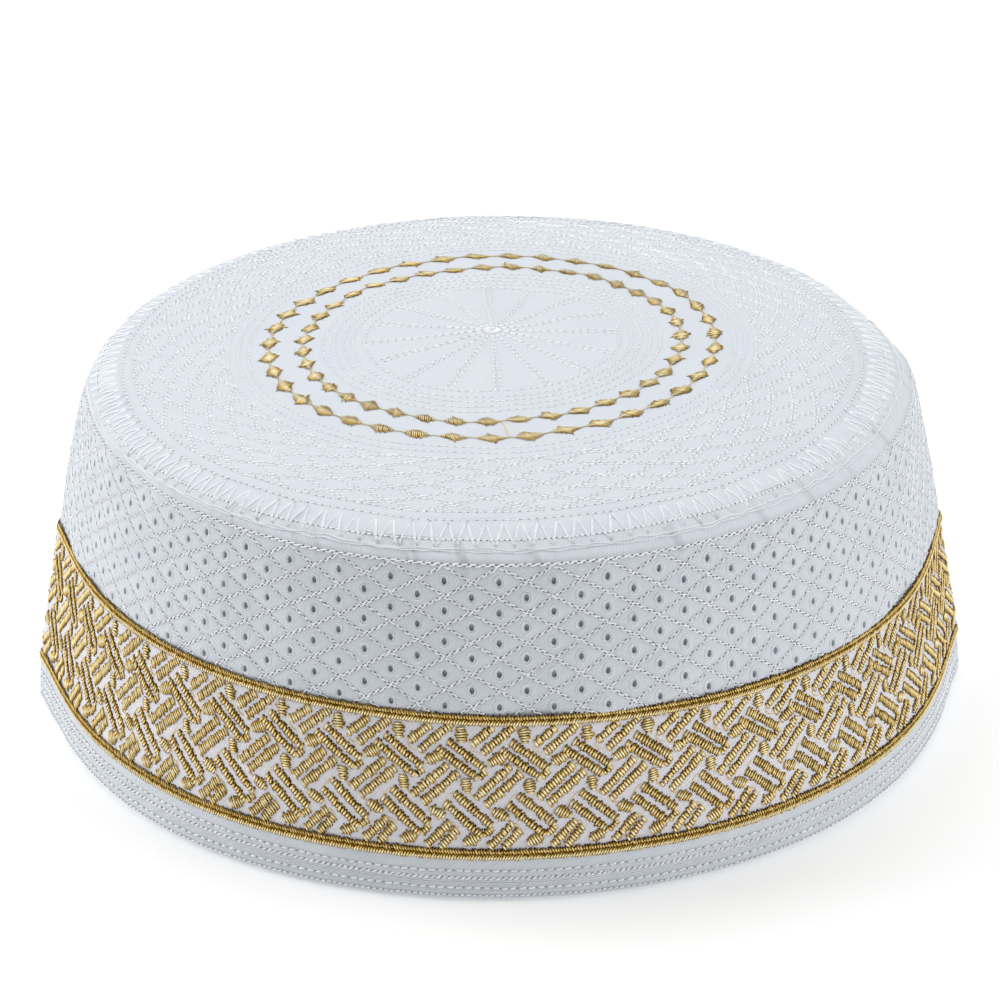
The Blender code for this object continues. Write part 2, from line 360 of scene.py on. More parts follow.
class Ripple:
    """Gentle unevenness of cloth: many long waves that cross each other."""

    def __init__(
        self, seed: int, wavelength: float, count: int = 14, girth: float | None = None, stretch: float = 1.0
    ) -> None:
        """Draw the waves.

        Args:
            seed: Seed of the random draws.
            wavelength: The middle of the waves' lengths.
            count: How many waves are laid over each other.
            girth: Distance after which the waves repeat, where the plan closes on itself.
            stretch: How many times longer the waves are along the second coordinate.
        """
        draw = np.random.default_rng(seed)
        heading = draw.uniform(0.0, TURN, count)
        number = TURN / (wavelength * draw.uniform(0.6, 1.7, count))
        self.across = number * np.cos(heading)
        if girth is not None:
            self.across = np.round(self.across * girth / TURN) * TURN / girth
        self.along = number * np.sin(heading) / stretch
        self.phase = draw.uniform(0.0, TURN, count)

    def __call__(self, across: Array, along: Array) -> Array:
        """The unevenness at places on the plan, about -1 to 1."""
        total = np.zeros(np.broadcast(across, along).shape)
        for wide, high, phase in zip(self.across, self.along, self.phase):
            total += np.sin(wide * across + high * along + phase)
        return total / math.sqrt(len(self.phase))


class Pleats:
    """Small pressed pleats under the crown's seam, each a step that fades out on one side.

    Most are spread round the cap by chance, and four tall ones are where the photo shows them.
    """

    count = 30
    fade = 5.0 * MM
    step = 0.42 * MM
    crease_width = 0.6 * MM
    tall_places = (-11.0, -20.0, -45.0, -60.0)
    tall_heights = (1.2, 0.7, 0.9, 1.1)

    def __init__(self, seed: int, girth: float) -> None:
        """Draw the pleats.

        Args:
            seed: Seed of the random draws.
            girth: Distance once round the cap.
        """
        draw = np.random.default_rng(seed)
        spread = (np.arange(self.count) + draw.uniform(0.15, 0.85, self.count)) / self.count - 0.5
        self.places = np.append(spread * girth, np.array(self.tall_places) * MM)
        self.heights = np.append(draw.uniform(0.1, 0.8, self.count), self.tall_heights) * self.step
        self.girth = girth

    def creased(self, across: Array) -> Array:
        """How near each place is to a pleat's crease, 1 on the crease of a tall one."""
        total = np.zeros(np.shape(across))
        for place, height in zip(self.places, self.heights / self.heights.max()):
            away = nearest_way(across - place, self.girth)
            total = np.maximum(total, height * bell(away, self.crease_width))
        return total

    def __call__(self, across: Array, share: Array | float) -> Array:
        """The pleats' height where they are pressed in by a share, 0 to 1."""
        total = np.zeros(np.shape(across))
        for place, height in zip(self.places, self.heights):
            past = (across - place) % self.girth
            total += height * np.exp(-past / self.fade)
        return total * share


class MeshStore:
    """Points, faces and point values of one mesh, gathered part by part."""

    sharp_angle = math.radians(62)

    def __init__(self, **widths: int) -> None:
        """Name the point values, each with how many numbers it has (1 or 3)."""
        self.widths = widths
        self.points: list[Array] = []
        self.faces: list[Array] = []
        self.values: dict[str, list[Array]] = {name: [] for name in widths}
        self.count = 0

    def add_points(self, points: Array, **values: Array) -> Array:
        """Add points.

        Args:
            points: The points, in any layout whose last axis is xyz.
            values: Each named value at the points.

        Returns:
            The indices of the points, in the same layout.
        """
        shape = points.shape[:-1]
        total = int(np.prod(shape))
        self.points.append(points.reshape(-1, 3))
        for name, width in self.widths.items():
            value = np.asarray(values.get(name, 0.0), dtype=float)
            if width == 1:
                value = value[..., None]
            self.values[name].append(np.broadcast_to(value, shape + (width,)).reshape(total, -1))
        self.count += total
        return np.arange(self.count - total, self.count).reshape(shape)

    def add_faces(self, faces: Array, flip: bool = False) -> None:
        """Add faces of one size, turned over where flip is set."""
        self.faces.append(faces[:, ::-1] if flip else faces)

    def add_grid(
        self, grid: Array, flip: bool = False, keep: Array | None = None, falling: Array | None = None
    ) -> None:
        """Add the faces of a closed band of rows.

        Args:
            grid: Point indices, a row for each level from low to high.
            flip: Whether the faces look inwards.
            keep: Which cells have a face; all where it isn't given.
            falling: Which cells are split from upper left to lower right; quads where it isn't given.
        """
        low, high = grid[:-1], grid[1:]
        corners = np.stack([low, np.roll(low, -1, 1), np.roll(high, -1, 1), high], axis=-1)
        kept = np.ones(corners.shape[:2], bool) if keep is None else keep
        if falling is None:
            self.add_faces(corners[kept], flip)
            return
        down, up = corners[kept & falling], corners[kept & ~falling]
        for cells, orders in ((down, ((0, 1, 3), (1, 2, 3))), (up, ((0, 1, 2), (0, 2, 3)))):
            for order in orders:
                self.add_faces(cells[:, order], flip)

    def add_bridge(self, fine: Array, coarse: Array, flip: bool = False) -> None:
        """Join a ring to one with fewer points.

        Args:
            fine: Point indices of the ring with more points, a whole number of times as many.
            coarse: Point indices of the other ring.
            flip: Whether the faces are turned over.
        """
        step = len(fine) // len(coarse)
        after = np.roll(coarse, -1)
        start = np.arange(len(coarse)) * step
        half = (step + 1) // 2
        for index in range(step):
            a, b = fine[start + index], fine[(start + index + 1) % len(fine)]
            self.add_faces(np.stack([coarse if index < half else after, a, b], axis=-1), flip)
        middle = fine[(start + half) % len(fine)]
        self.add_faces(np.stack([coarse, middle, after], axis=-1), flip)

    def add_fan(self, ring: Array, tip: int, flip: bool = False) -> None:
        """Join a ring to a tip point."""
        self.add_faces(np.stack([ring, np.roll(ring, -1), np.full(len(ring), tip)], axis=-1), flip)

    def build(self, name: str, material: bpy.types.Material) -> bpy.types.Object:
        """Make the mesh object, smooth with sharp cut edges.

        Args:
            name: Name of the object.
            material: Its finish.

        Returns:
            The object, linked to the scene.
        """
        points = np.concatenate(self.points)
        sizes = np.concatenate([np.full(len(faces), faces.shape[1]) for faces in self.faces])
        mesh = bpy.data.meshes.new(name)
        mesh.vertices.add(len(points))
        mesh.vertices.foreach_set("co", points.ravel())
        mesh.loops.add(int(sizes.sum()))
        mesh.loops.foreach_set("vertex_index", np.concatenate([faces.ravel() for faces in self.faces]))
        mesh.polygons.add(len(sizes))
        mesh.polygons.foreach_set("loop_start", np.cumsum(sizes) - sizes)
        mesh.update(calc_edges=True)
        for label, width in self.widths.items():
            kind, key = ("FLOAT", "value") if width == 1 else ("FLOAT_VECTOR", "vector")
            values = np.concatenate(self.values[label]).ravel()
            mesh.attributes.new(label, kind, "POINT").data.foreach_set(key, values)
        mesh.shade_smooth()
        mesh.set_sharp_from_angle(angle=self.sharp_angle)
        mesh.materials.append(material)
        item = bpy.data.objects.new(name, mesh)
        bpy.context.scene.collection.objects.link(item)
        return item


class Shade:
    """A shader number, so that maths on it can be written as Python expressions."""

    def __init__(self, board: "NodeBoard", socket: bpy.types.NodeSocket) -> None:
        """Keep the node board and the socket that gives the number."""
        self.board = board
        self.socket = socket

    def maths(self, operation: str, *others: "Shade | float", turned: bool = False) -> "Shade":
        """Add a Math node.

        Args:
            operation: The node's operation.
            others: The other numbers, links or plain.
            turned: Whether this number comes after the others.

        Returns:
            The node's result.
        """
        terms = [*others, self] if turned else [self, *others]
        return self.board.node("ShaderNodeMath", {"operation": operation}, dict(enumerate(terms)))

    def __add__(self, other: "Shade | float") -> "Shade":
        """self + other."""
        return self.maths("ADD", other)

    __radd__ = __add__

    def __sub__(self, other: "Shade | float") -> "Shade":
        """self - other."""
        return self.maths("SUBTRACT", other)

    def __rsub__(self, other: float) -> "Shade":
        """other - self."""
        return self.maths("SUBTRACT", other, turned=True)

    def __mul__(self, other: "Shade | float") -> "Shade":
        """self * other."""
        return self.maths("MULTIPLY", other)

    __rmul__ = __mul__

    def __pow__(self, other: float) -> "Shade":
        """self ** other."""
        return self.maths("POWER", other)

    def fraction(self) -> "Shade":
        """How far the number is past the whole number below it."""
        return self.maths("FRACT")

    def clamped(self) -> "Shade":
        """The number kept from 0 to 1."""
        return self.maths("MINIMUM", 1.0).maths("MAXIMUM", 0.0)

    def wave(self) -> "Shade":
        """The sine of the number, moved to 0 to 1."""
        return self.maths("SINE") * 0.5 + 0.5


class NodeBoard:
    """The node tree of one material."""

    def __init__(self, name: str) -> None:
        """Start a material whose tree holds only its surface shader."""
        self.material = bpy.data.materials.new(name)
        self.material.use_nodes = True
        self.tree = self.material.node_tree
        self.surface = self.tree.nodes["Principled BSDF"]

    def node(
        self,
        kind: str,
        settings: dict[str, object] | None = None,
        sockets: dict[str | int, object] | None = None,
        out: str | int = 0,
    ) -> Shade:
        """Add a node.

        Args:
            kind: The node's type.
            settings: Its settings, set first; "stops" gives a ramp's places and colours.
            sockets: Values or links of its sockets, by name or number.
            out: The output that is handed back.

        Returns:
            The output, as a shader number.
        """
        added = self.tree.nodes.new(kind)
        for name, value in (settings or {}).items():
            if name == "stops":
                elements = added.color_ramp.elements
                while len(elements) < len(value):
                    elements.new(1.0)
                for element, (place, colour) in zip(elements, value):
                    element.position, element.color = place, colour
            else:
                setattr(added, name, value)
        for name, value in (sockets or {}).items():
            self.feed(added.inputs[name], value)
        return Shade(self, added.outputs[out])

    def feed(self, socket: bpy.types.NodeSocket, value: object) -> None:
        """Link or set one socket."""
        if isinstance(value, Shade):
            self.tree.links.new(value.socket, socket)
        else:
            socket.default_value = value

    def value(self, name: str) -> Shade:
        """A number stored at the mesh's points."""
        return self.node("ShaderNodeAttribute", {"attribute_name": name}, out="Fac")

    def place(self, name: str) -> Shade:
        """A vector stored at the mesh's points."""
        return self.node("ShaderNodeAttribute", {"attribute_name": name}, out="Vector")

    def parts(self, vector: Shade) -> list[Shade]:
        """The three numbers of a vector."""
        split = self.node("ShaderNodeSeparateXYZ", sockets={0: vector}).socket.node
        return [Shade(self, socket) for socket in split.outputs]

    def noise(self, vector: Shade, size: float, detail: float = 3.0) -> Shade:
        """Soft noise whose patches are about a size across, from 0 to 1."""
        sockets = {"Vector": vector, "Scale": 1 / size, "Detail": detail}
        return self.node("ShaderNodeTexNoise", sockets=sockets)

    def mix(self, share: Shade | float, first: Shade | Colour, second: Shade | Colour) -> Shade:
        """A colour between two colours."""
        sockets = {0: share, 6: first, 7: second}
        return self.node("ShaderNodeMix", {"data_type": "RGBA", "clamp_factor": True}, sockets, out=2)

    def bump(self, height: Shade, distance: float, strength: float, normal: Shade | None = None) -> Shade:
        """A normal that follows a height, laid over another one where that is given."""
        sockets = {"Height": height, "Distance": distance, "Strength": strength}
        if normal is not None:
            sockets["Normal"] = normal
        return self.node("ShaderNodeBump", sockets=sockets)

    def dress(self, **sockets: object) -> bpy.types.Material:
        """Set the surface's sockets, by name with _ for spaces, and give the material."""
        for name, value in sockets.items():
            self.feed(self.surface.inputs[name.replace("_", " ")], value)
        return self.material


@dataclass(frozen=True)
class CottonFinish:
    """Fine twill cotton with a soft sheen, with painted shade that darkens it in its folds and along its
    stitches.
    """

    slot: Slot
    cloth: Colour
    patch: Colour
    # Colour of the painted shade, mixed in by the points' fold value.
    fold: Colour
    ring_colour: Colour = (0.93, 0.95, 0.97, 1.0)
    twill_pitch: float = 0.55 * MM
    twill_lean: float = 0.7
    twill_depth: float = 0.055
    ring_depth: float = 0.22
    ring_edge: float = 6.0
    patch_size: float = 14 * MM
    crumple_size: float = 2.6 * MM
    crumple_depth: float = 0.25 * MM
    cell: tuple[float, float] = (10.45, 3.3)
    ring_size: tuple[float, float] = (1.02, 1.36)

    def eyelet_rings(self, board: NodeBoard) -> Shade:
        """Where the pressed rings round the eyelets are, from the points' place in the pattern."""
        column, row, shown = board.parts(board.place("cell"))
        left = (column + row * 0.5 + 0.5).fraction() - 0.5
        right = (column - row * 0.5 + 0.5).fraction() - 0.5
        wide = (left + right) * (0.5 * self.cell[0] / self.ring_size[0])
        high = (left - right) * (self.cell[1] / self.ring_size[1])
        away = ((wide * wide + high * high) ** 0.5 - 1.0) * self.ring_edge
        return (1 - away * away).clamped() * shown

    def make(self) -> bpy.types.Material:
        """The material, from the points' place on the cloth and how much painted shade they get in folds and
        grooves.
        """
        board = NodeBoard(self.slot.value)
        place = board.place("place")
        across, along, _ = board.parts(place)
        turn = TURN / self.twill_pitch
        twill = ((across - along * self.twill_lean) * (turn * 0.82)).wave()
        patches = board.noise(place, self.patch_size, 4.0)
        crumples = board.noise(place, self.crumple_size, 3.0)
        # Painted shade: the fold value darkens the cloth towards the fold colour.
        fold = board.value("fold")
        tone = board.mix((patches * 1.6 - 0.35).clamped(), self.cloth, self.patch)
        tone = board.mix(fold * (0.45 + crumples * 0.4), tone, self.fold)
        ring = self.eyelet_rings(board)
        tone = board.mix(ring * 0.8, tone, self.ring_colour)
        weave = board.bump(twill * self.twill_depth + ring * self.ring_depth, MM, 0.8)
        return board.dress(
            Base_Color=tone,
            Roughness=0.62 + patches * 0.16,
            Normal=board.bump(crumples, self.crumple_depth, 0.35, weave),
            Sheen_Weight=0.25,
            Sheen_Roughness=0.45,
        )


@dataclass(frozen=True)
class WhiteThreadFinish:
    """Glossy white sewing thread with its twist, with a painted shadow where it dives in and a faint painted
    glow.
    """

    slot: Slot = Slot.WHITE_THREAD
    light: Colour = (0.98, 0.985, 0.99, 1.0)
    dim: Colour = (0.88, 0.90, 0.93, 1.0)
    # Colour of the painted shadow in the needle holes, at each stitch's ends.
    hole_shadow: Colour = (0.06, 0.065, 0.075, 1.0)
    twist_pitch: float = 0.28 * MM
    # Where on the painted shade value the needle-hole shadow starts, and how sharply it darkens.
    pit_start: float = 0.65
    pit_sharpness: float = 8.0
    # Painted light: the thread glows a little, though it is no lamp.
    glow: float = 0.18

    def make(self) -> bpy.types.Material:
        """The material, from each stitch's own tone and its twist, with a painted shadow where it dives into
        the cloth.
        """
        board = NodeBoard(self.slot.value)
        place = board.place("place")
        across, along, _ = board.parts(place)
        twist = ((across + along) * (TURN / self.twist_pitch)).wave()
        tone = board.mix(board.value("tone"), self.dim, self.light)
        # Painted shadow: the ends and the hole marks darken towards the shadow colour.
        shadow_share = board.value("reach") * self.pit_sharpness - self.pit_sharpness * self.pit_start
        tone = board.mix(shadow_share.clamped(), tone, self.hole_shadow)
        return board.dress(
            Base_Color=tone,
            Emission_Color=tone,
            Emission_Strength=self.glow,
            Roughness=0.36 + twist * 0.18,
            Normal=board.bump(twist, 0.02 * MM, 0.5),
            Sheen_Weight=0.15,
        )


@dataclass(frozen=True)
class GoldThreadFinish:
    """Metallic gold embroidery thread, with a painted highlight on top of each stitch and painted shadow
    where it dives in.
    """

    slot: Slot = Slot.GOLD_THREAD
    # Ramp colours from a stitch's top to its ends: pale is a painted highlight on the tops, varied at random
    # with the gold; shadow and the last, near-black colour are painted shade.
    pale: Colour = (1.0, 0.92, 0.62, 1.0)
    gold: Colour = (0.80, 0.55, 0.14, 1.0)
    shadow: Colour = (0.21, 0.10, 0.010, 1.0)
    deep_shadow: Colour = (0.020, 0.008, 0.001, 1.0)
    stops: tuple[float, ...] = (0.0, 0.36, 0.74, 1.0)
    strand_pitch: float = 0.16 * MM
    fleck_size: float = 0.5 * MM
    # Painted light: the thread glows a little, though it is no lamp.
    glow: float = 0.10

    def make(self) -> bpy.types.Material:
        """The material, from each stitch's own tone and its painted shade, which is deepest near its ends.
        """
        board = NodeBoard(self.slot.value)
        place = board.place("place")
        across, along, _ = board.parts(place)
        strands = ((across - along * 0.6) * (TURN / self.strand_pitch)).wave()
        flecks = board.noise(place, self.fleck_size, 2.0)
        dull = (1 - board.value("tone")) * 0.25
        # Painted shade from each stitch's ends, sides and pads, with random tone and flecks.
        depth = (board.value("reach") * 1.2 + dull + (flecks - 0.5) * 0.5 - 0.25).clamped()
        colours = (self.pale, self.gold, self.shadow, self.deep_shadow)
        ramp = {"stops": list(zip(self.stops, colours))}
        tone = board.node("ShaderNodeValToRGB", ramp, {"Fac": depth})
        return board.dress(
            Base_Color=tone,
            Emission_Color=tone,
            Emission_Strength=self.glow,
            Roughness=0.22 + flecks * 0.2,
            Metallic=(flecks * 0.3 + depth * 0.7 + 0.25).clamped(),
            Coat_Weight=(0.25 - depth * 0.5).clamped(),
            Specular_IOR_Level=0.25,
            Normal=board.bump(strands, 0.03 * MM, 0.4),
        )


@dataclass(frozen=True)
class FloorFinish:
    """A pale matt studio floor."""

    name: str = "studio_floor"
    paper: Colour = (0.93, 0.93, 0.935, 1.0)
    mottled: Colour = (0.985 * 0.93, 0.985 * 0.93, 0.985 * 0.935, 1.0)
    glow: Colour = (1.0, 1.0, 1.0, 1.0)
    glow_strength: float = 0.21

    def make(self) -> bpy.types.Material:
        """The material, with the faintest mottle of paper."""
        board = NodeBoard(self.name)
        place = board.node("ShaderNodeTexCoord", out="Object")
        tone = board.mix(board.noise(place, 0.2) * 0.2, self.paper, self.mottled)
        return board.dress(
            Base_Color=tone,
            Roughness=0.8,
            Emission_Color=self.glow,
            Emission_Strength=self.glow_strength,
        )


@dataclass(frozen=True)
class StitchKind:
    """How one kind of running stitch is sewn.

    Attributes:
        pitch: Distance from one stitch to the next.
        fill: How much of the pitch the thread takes up.
        half_width: Half the thread's width.
        rise: How high the thread stands on the cloth.
        sink: How deep its ends dive.
        slant: How far an end is aside of the line.
        hole_shadow: How dark the painted shadow at the ends and the holes is.
        hole: Half the length and half the width of a hole's dark mark of painted shadow.
    """

    pitch: float
    fill: float = 0.86
    half_width: float = 0.15 * MM
    rise: float = 0.15 * MM
    sink: float = 0.04 * MM
    slant: float = 0.09 * MM
    # How dark the painted shadow at the stitch ends and the hole marks is.
    hole_shadow: float = 0.78
    hole: tuple[float, float] = (0.27 * MM, 0.15 * MM)


class Stitchery:
    """Raised stitches laid over a plan of the cloth, gathered into one mesh."""

    run_share = np.array([-1.0, -0.62, 0.62, 1.0])
    hole_share = np.array([-1.0, 0.0, 1.0])
    satin_share = np.array([-1.0, -0.72, 0.0, 0.72, 1.0])
    satin_arch = np.array([-0.3, 0.62, 1.0, 0.62, -0.3])
    wander = 0.03 * MM
    least_thickness = 0.1 * MM
    # Painted shade of the pads under the satin stitches.
    pad_shade = 0.85

    def __init__(
        self, chart: Chart, relief: Relief, seed: int, side_shade: float = 0.0, sides: int = 3
    ) -> None:
        """Start with no stitches.

        Args:
            chart: The plan that the stitches are drawn on.
            relief: The cloth's own height over the form, which the stitches lie on.
            seed: Seed of the stitches' tones.
            side_shade: How much painted shade a thread's sides get, darker than its top.
            sides: How many sides a thread has.
        """
        self.chart = chart
        self.relief = relief
        self.draw = np.random.default_rng(seed)
        self.side_shade = side_shade
        self.sides = sides
        self.store = MeshStore(place=3, tone=1, reach=1)
        self.store.sharp_angle = math.pi

    def lay(self, spots: Array, lift: Array, half_width: Array, half_height: Array, reach: Array) -> None:
        """Lay threads, one for each row, that taper to a point at both ends.

        Args:
            spots: Places of the stations on the plan, a row of them for each thread.
            lift: Height of each station above the cloth.
            half_width: Half the thread's width at each station.
            half_height: Half its thickness at each station.
            reach: How much painted shade each station gets, most often more near the thread's ends, about 0
                to 1.
        """
        across, along = spots[..., 0], spots[..., 1]
        count, stations = shape = across.shape
        lift = self.relief(across, along) + lift
        spine, normal = self.chart.lifted(across, along, lift)
        side = np.cross(np.gradient(spine, axis=1), normal)
        side /= np.maximum(np.linalg.norm(side, axis=-1, keepdims=True), 1e-12)
        turn = math.pi / 2 + TURN * np.arange(self.sides) / self.sides
        wide = np.broadcast_to(half_width, shape)[:, 1:-1, None] * np.cos(turn)
        high = np.broadcast_to(half_height, shape)[:, 1:-1, None] * np.sin(turn)
        rings = spine[:, 1:-1, None] + side[:, 1:-1, None] * wide[..., None]
        rings = rings + normal[:, 1:-1, None] * high[..., None]
        block = np.concatenate([spine[:, :1], rings.reshape(count, -1, 3), spine[:, -1:]], axis=1)
        inside = np.repeat(np.arange(1, stations - 1), self.sides)
        station = np.concatenate([[0], inside, [stations - 1]])
        tone = np.repeat(self.draw.uniform(0.0, 1.0, (count, 1)), len(station), axis=1)
        # Painted shade on each thread's sides and lower face, added to its stations' painted shade.
        side_on = np.concatenate([[0.0], np.tile(1 - np.sin(turn), stations - 2), [0.0]])
        shade = np.broadcast_to(reach, shape)[:, station] + self.side_shade * side_on
        place = plan_vectors(across, along)[:, station]
        index = self.store.add_points(block, place=place, tone=tone, reach=shade)
        ring = 1 + np.arange((stations - 2) * self.sides).reshape(stations - 2, self.sides)
        after = np.roll(ring, -1, 1)
        for low, high_ring, low_after, high_after in zip(ring[:-1], ring[1:], after[:-1], after[1:]):
            quads = np.stack([low, high_ring, high_after, low_after], axis=-1)
            self.store.add_faces(index[:, quads].reshape(-1, 4))
        first = np.stack([np.zeros(self.sides, int), ring[0], after[0]], axis=-1)
        last = np.stack([np.full(self.sides, len(station) - 1), after[-1], ring[-1]], axis=-1)
        for ends in (first, last):
            self.store.add_faces(index[:, ends].reshape(-1, 3))

    def run_along(
        self, lines: Sequence[Array], kind: StitchKind, sideways: float = 0.0, phase: float = 0.5
    ) -> None:
        """Sew running stitches along lines, with a dark mark of painted shadow at the hole that each shares
        with the next.

        Args:
            lines: Each line's points on the plan.
            kind: The kind of stitch.
            sideways: How far beside the line the stitches run.
            phase: Where in its pitch the first stitch has its middle.
        """
        threads, holes = [], []
        for line in lines:
            travelled = travelled_along(line)
            heading = np.gradient(line, axis=0)
            heading /= np.linalg.norm(heading, axis=1, keepdims=True)
            beside = np.stack([-heading[:, 1], heading[:, 0]], axis=-1)
            count = max(1, round(travelled[-1] / kind.pitch))
            pitch = travelled[-1] / count
            middle = (np.arange(count) + phase) * pitch
            middle = middle + self.draw.normal(0.0, 0.06 * pitch, count)
            half = pitch * kind.fill / 2 * self.draw.uniform(0.78, 1.12, count)
            station = middle[:, None] + half[:, None] * self.run_share
            aside = sideways + kind.slant * self.run_share
            aside = aside + self.draw.normal(0.0, self.wander, (count, 1))
            out = read_at(beside, travelled, station)
            threads.append(read_at(line, travelled, station) + aside[..., None] * out)
            # A small dark mark at each needle hole: painted shadow.
            station = (middle + pitch / 2)[:, None] + kind.hole[0] * self.hole_share
            holes.append(read_at(line, travelled, station) + sideways * out[:, 1:2])
        # The stitch ends take painted shadow, darkest at their tips.
        lie = np.array([0.0, 1.0, 1.0, 0.0])
        self.lay(
            np.concatenate(threads),
            np.where(lie > 0, 0.8 * kind.rise, -kind.sink),
            lie * kind.half_width,
            0.65 * lie * kind.half_width,
            np.where(lie > 0, 0.72, 1.0) * kind.hole_shadow,
        )
        level = np.full(3, 0.5 * kind.rise)
        width = np.array([0.0, 1.0, 0.0]) * kind.hole[1]
        self.lay(np.concatenate(holes), level, width, level, np.full(3, kind.hole_shadow))

    def satin(
        self, middle: Array, stroke: Array, rise: float, half_width: Array | float, shade: float = 0.0
    ) -> None:
        """Sew satin stitches, each an arch over the cloth.

        Args:
            middle: Middle of each stitch on the plan.
            stroke: Half of each stitch, from its middle to its end.
            rise: Height of the arch.
            half_width: Half the thread's width.
            shade: How much more painted shade the stitches get than at their best.
        """
        share = self.satin_share
        spots = middle[:, None, :] + share[:, None] * stroke[:, None, :]
        lift = self.satin_arch * rise * self.draw.uniform(0.88, 1.12, (len(middle), 1))
        lie = np.array([0.0, 1.0, 1.0, 1.0, 0.0])
        # Painted shade grows towards both ends of each stitch, where it dives in.
        self.lay(spots, lift, lie * half_width, 0.6 * lie * half_width, share**2 + shade)

    def pad(self, ends: Array, half_width: Array, lift: float) -> None:
        """Lay the flat padding that satin stitches are sewn over, painted dark with shade.

        Args:
            ends: The two ends of each pad, in rows.
            half_width: Half its width at five stations along it.
            lift: Height of its middle above the cloth.
        """
        share = np.linspace(0.0, 1.0, 5)[:, None]
        spots = ends[:, :1] + share * (ends[:, 1:] - ends[:, :1])
        level = np.full(5, lift)
        self.lay(spots, level, half_width, level, np.full(5, self.pad_shade))

    def trace(self, line: Array, half_width: float, lift: float, stations: int, shade: float = 0.2) -> None:
        """Lay one long thread along a line.

        Args:
            line: The line's points on the plan.
            half_width: Half the thread's width.
            lift: Its height above the cloth.
            stations: How many stations it has.
            shade: How much painted shade it gets, as the ends of a stitch do.
        """
        travelled = travelled_along(line)
        spots = read_at(line, travelled, np.linspace(0.0, travelled[-1], stations))[None]
        thickness = min(half_width, max(lift, self.least_thickness))
        numbers = (lift, half_width, thickness, shade)
        self.lay(spots, *(np.full(stations, number) for number in numbers))


Finishes = dict[Slot, bpy.types.Material]


def make_finishes() -> Finishes:
    """Make the material of every slot once."""
    finishes = (
        CottonFinish(
            Slot.WHITE_COTTON,
            cloth=(0.73, 0.77, 0.82, 1.0),
            patch=(0.69, 0.735, 0.79, 1.0),
            # Painted shade colour of the white cotton, in its grooves, creases, holes and lining.
            fold=(0.49, 0.515, 0.55, 1.0),
        ),
        CottonFinish(
            Slot.BAND_COTTON,
            cloth=(0.85, 0.83, 0.86, 1.0),
            patch=(0.80, 0.785, 0.82, 1.0),
            # Painted shade colour of the band cotton, beside the gold cords.
            fold=(0.52, 0.48, 0.45, 1.0),
        ),
        WhiteThreadFinish(),
        GoldThreadFinish(),
    )
    return {finish.slot: finish.make() for finish in finishes}


@dataclass
class SubAssembly(ABC):
    """A part of the cap that is sewn from its own pieces."""

    finishes: Finishes

    def finish(self, name: str, slot: Slot, store: MeshStore, *nodes: str) -> bpy.types.Object:
        """Build one piece and tie it to the frame.

        Args:
            name: Name of the piece.
            slot: The slot whose finish it takes.
            store: Its mesh.
            nodes: The solid pieces that it stands for.

        Returns:
            The piece's object.
        """
        item = store.build(name, self.finishes[slot])
        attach(item, "root")
        if nodes:
            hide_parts(*nodes)
        return item

    @abstractmethod
    def build(self) -> list[bpy.types.Object]:
        """Build the pieces."""


@dataclass
class WallPart(SubAssembly):
    """A sub-assembly that is drawn on the plan of the wall."""

    chart: WallChart

    def ripple(self, seed: int, wavelength: float, count: int = 14, stretch: float = 1.0) -> Ripple:
        """Unevenness that closes on itself round the cap."""
        return Ripple(seed, wavelength, count, self.chart.girth, stretch)


@dataclass
class StripSheet:
    """A closed strip of cloth round the wall, with an outer face, an inner face and its two edges."""

    chart: WallChart
    rows: Array
    columns: int
    thickness: float
    relief: Relief
    inner_every: int = 4
    inner_rows: int = 5

    def store(self, fold: Relief) -> MeshStore:
        """Gather the strip's mesh.

        Args:
            fold: How much painted shade each place on the plan gets.

        Returns:
            The mesh, ready to build.
        """
        store = MeshStore(place=3, fold=1)
        across = self.chart.columns_at(self.columns)
        x, y = np.meshgrid(across, self.rows)
        outer = self.chart.add_cloth(store, x, y, self.relief(x, y), fold=fold(x, y))
        store.add_grid(outer)
        levels = np.linspace(self.rows[0], self.rows[-1], self.inner_rows)
        x, y = np.meshgrid(across[:: self.inner_every], levels)
        inner = self.chart.add_cloth(store, x, y, -self.thickness)
        store.add_grid(inner, flip=True)
        store.add_bridge(outer[0], inner[0], flip=True)
        store.add_bridge(outer[-1], inner[-1])
        return store


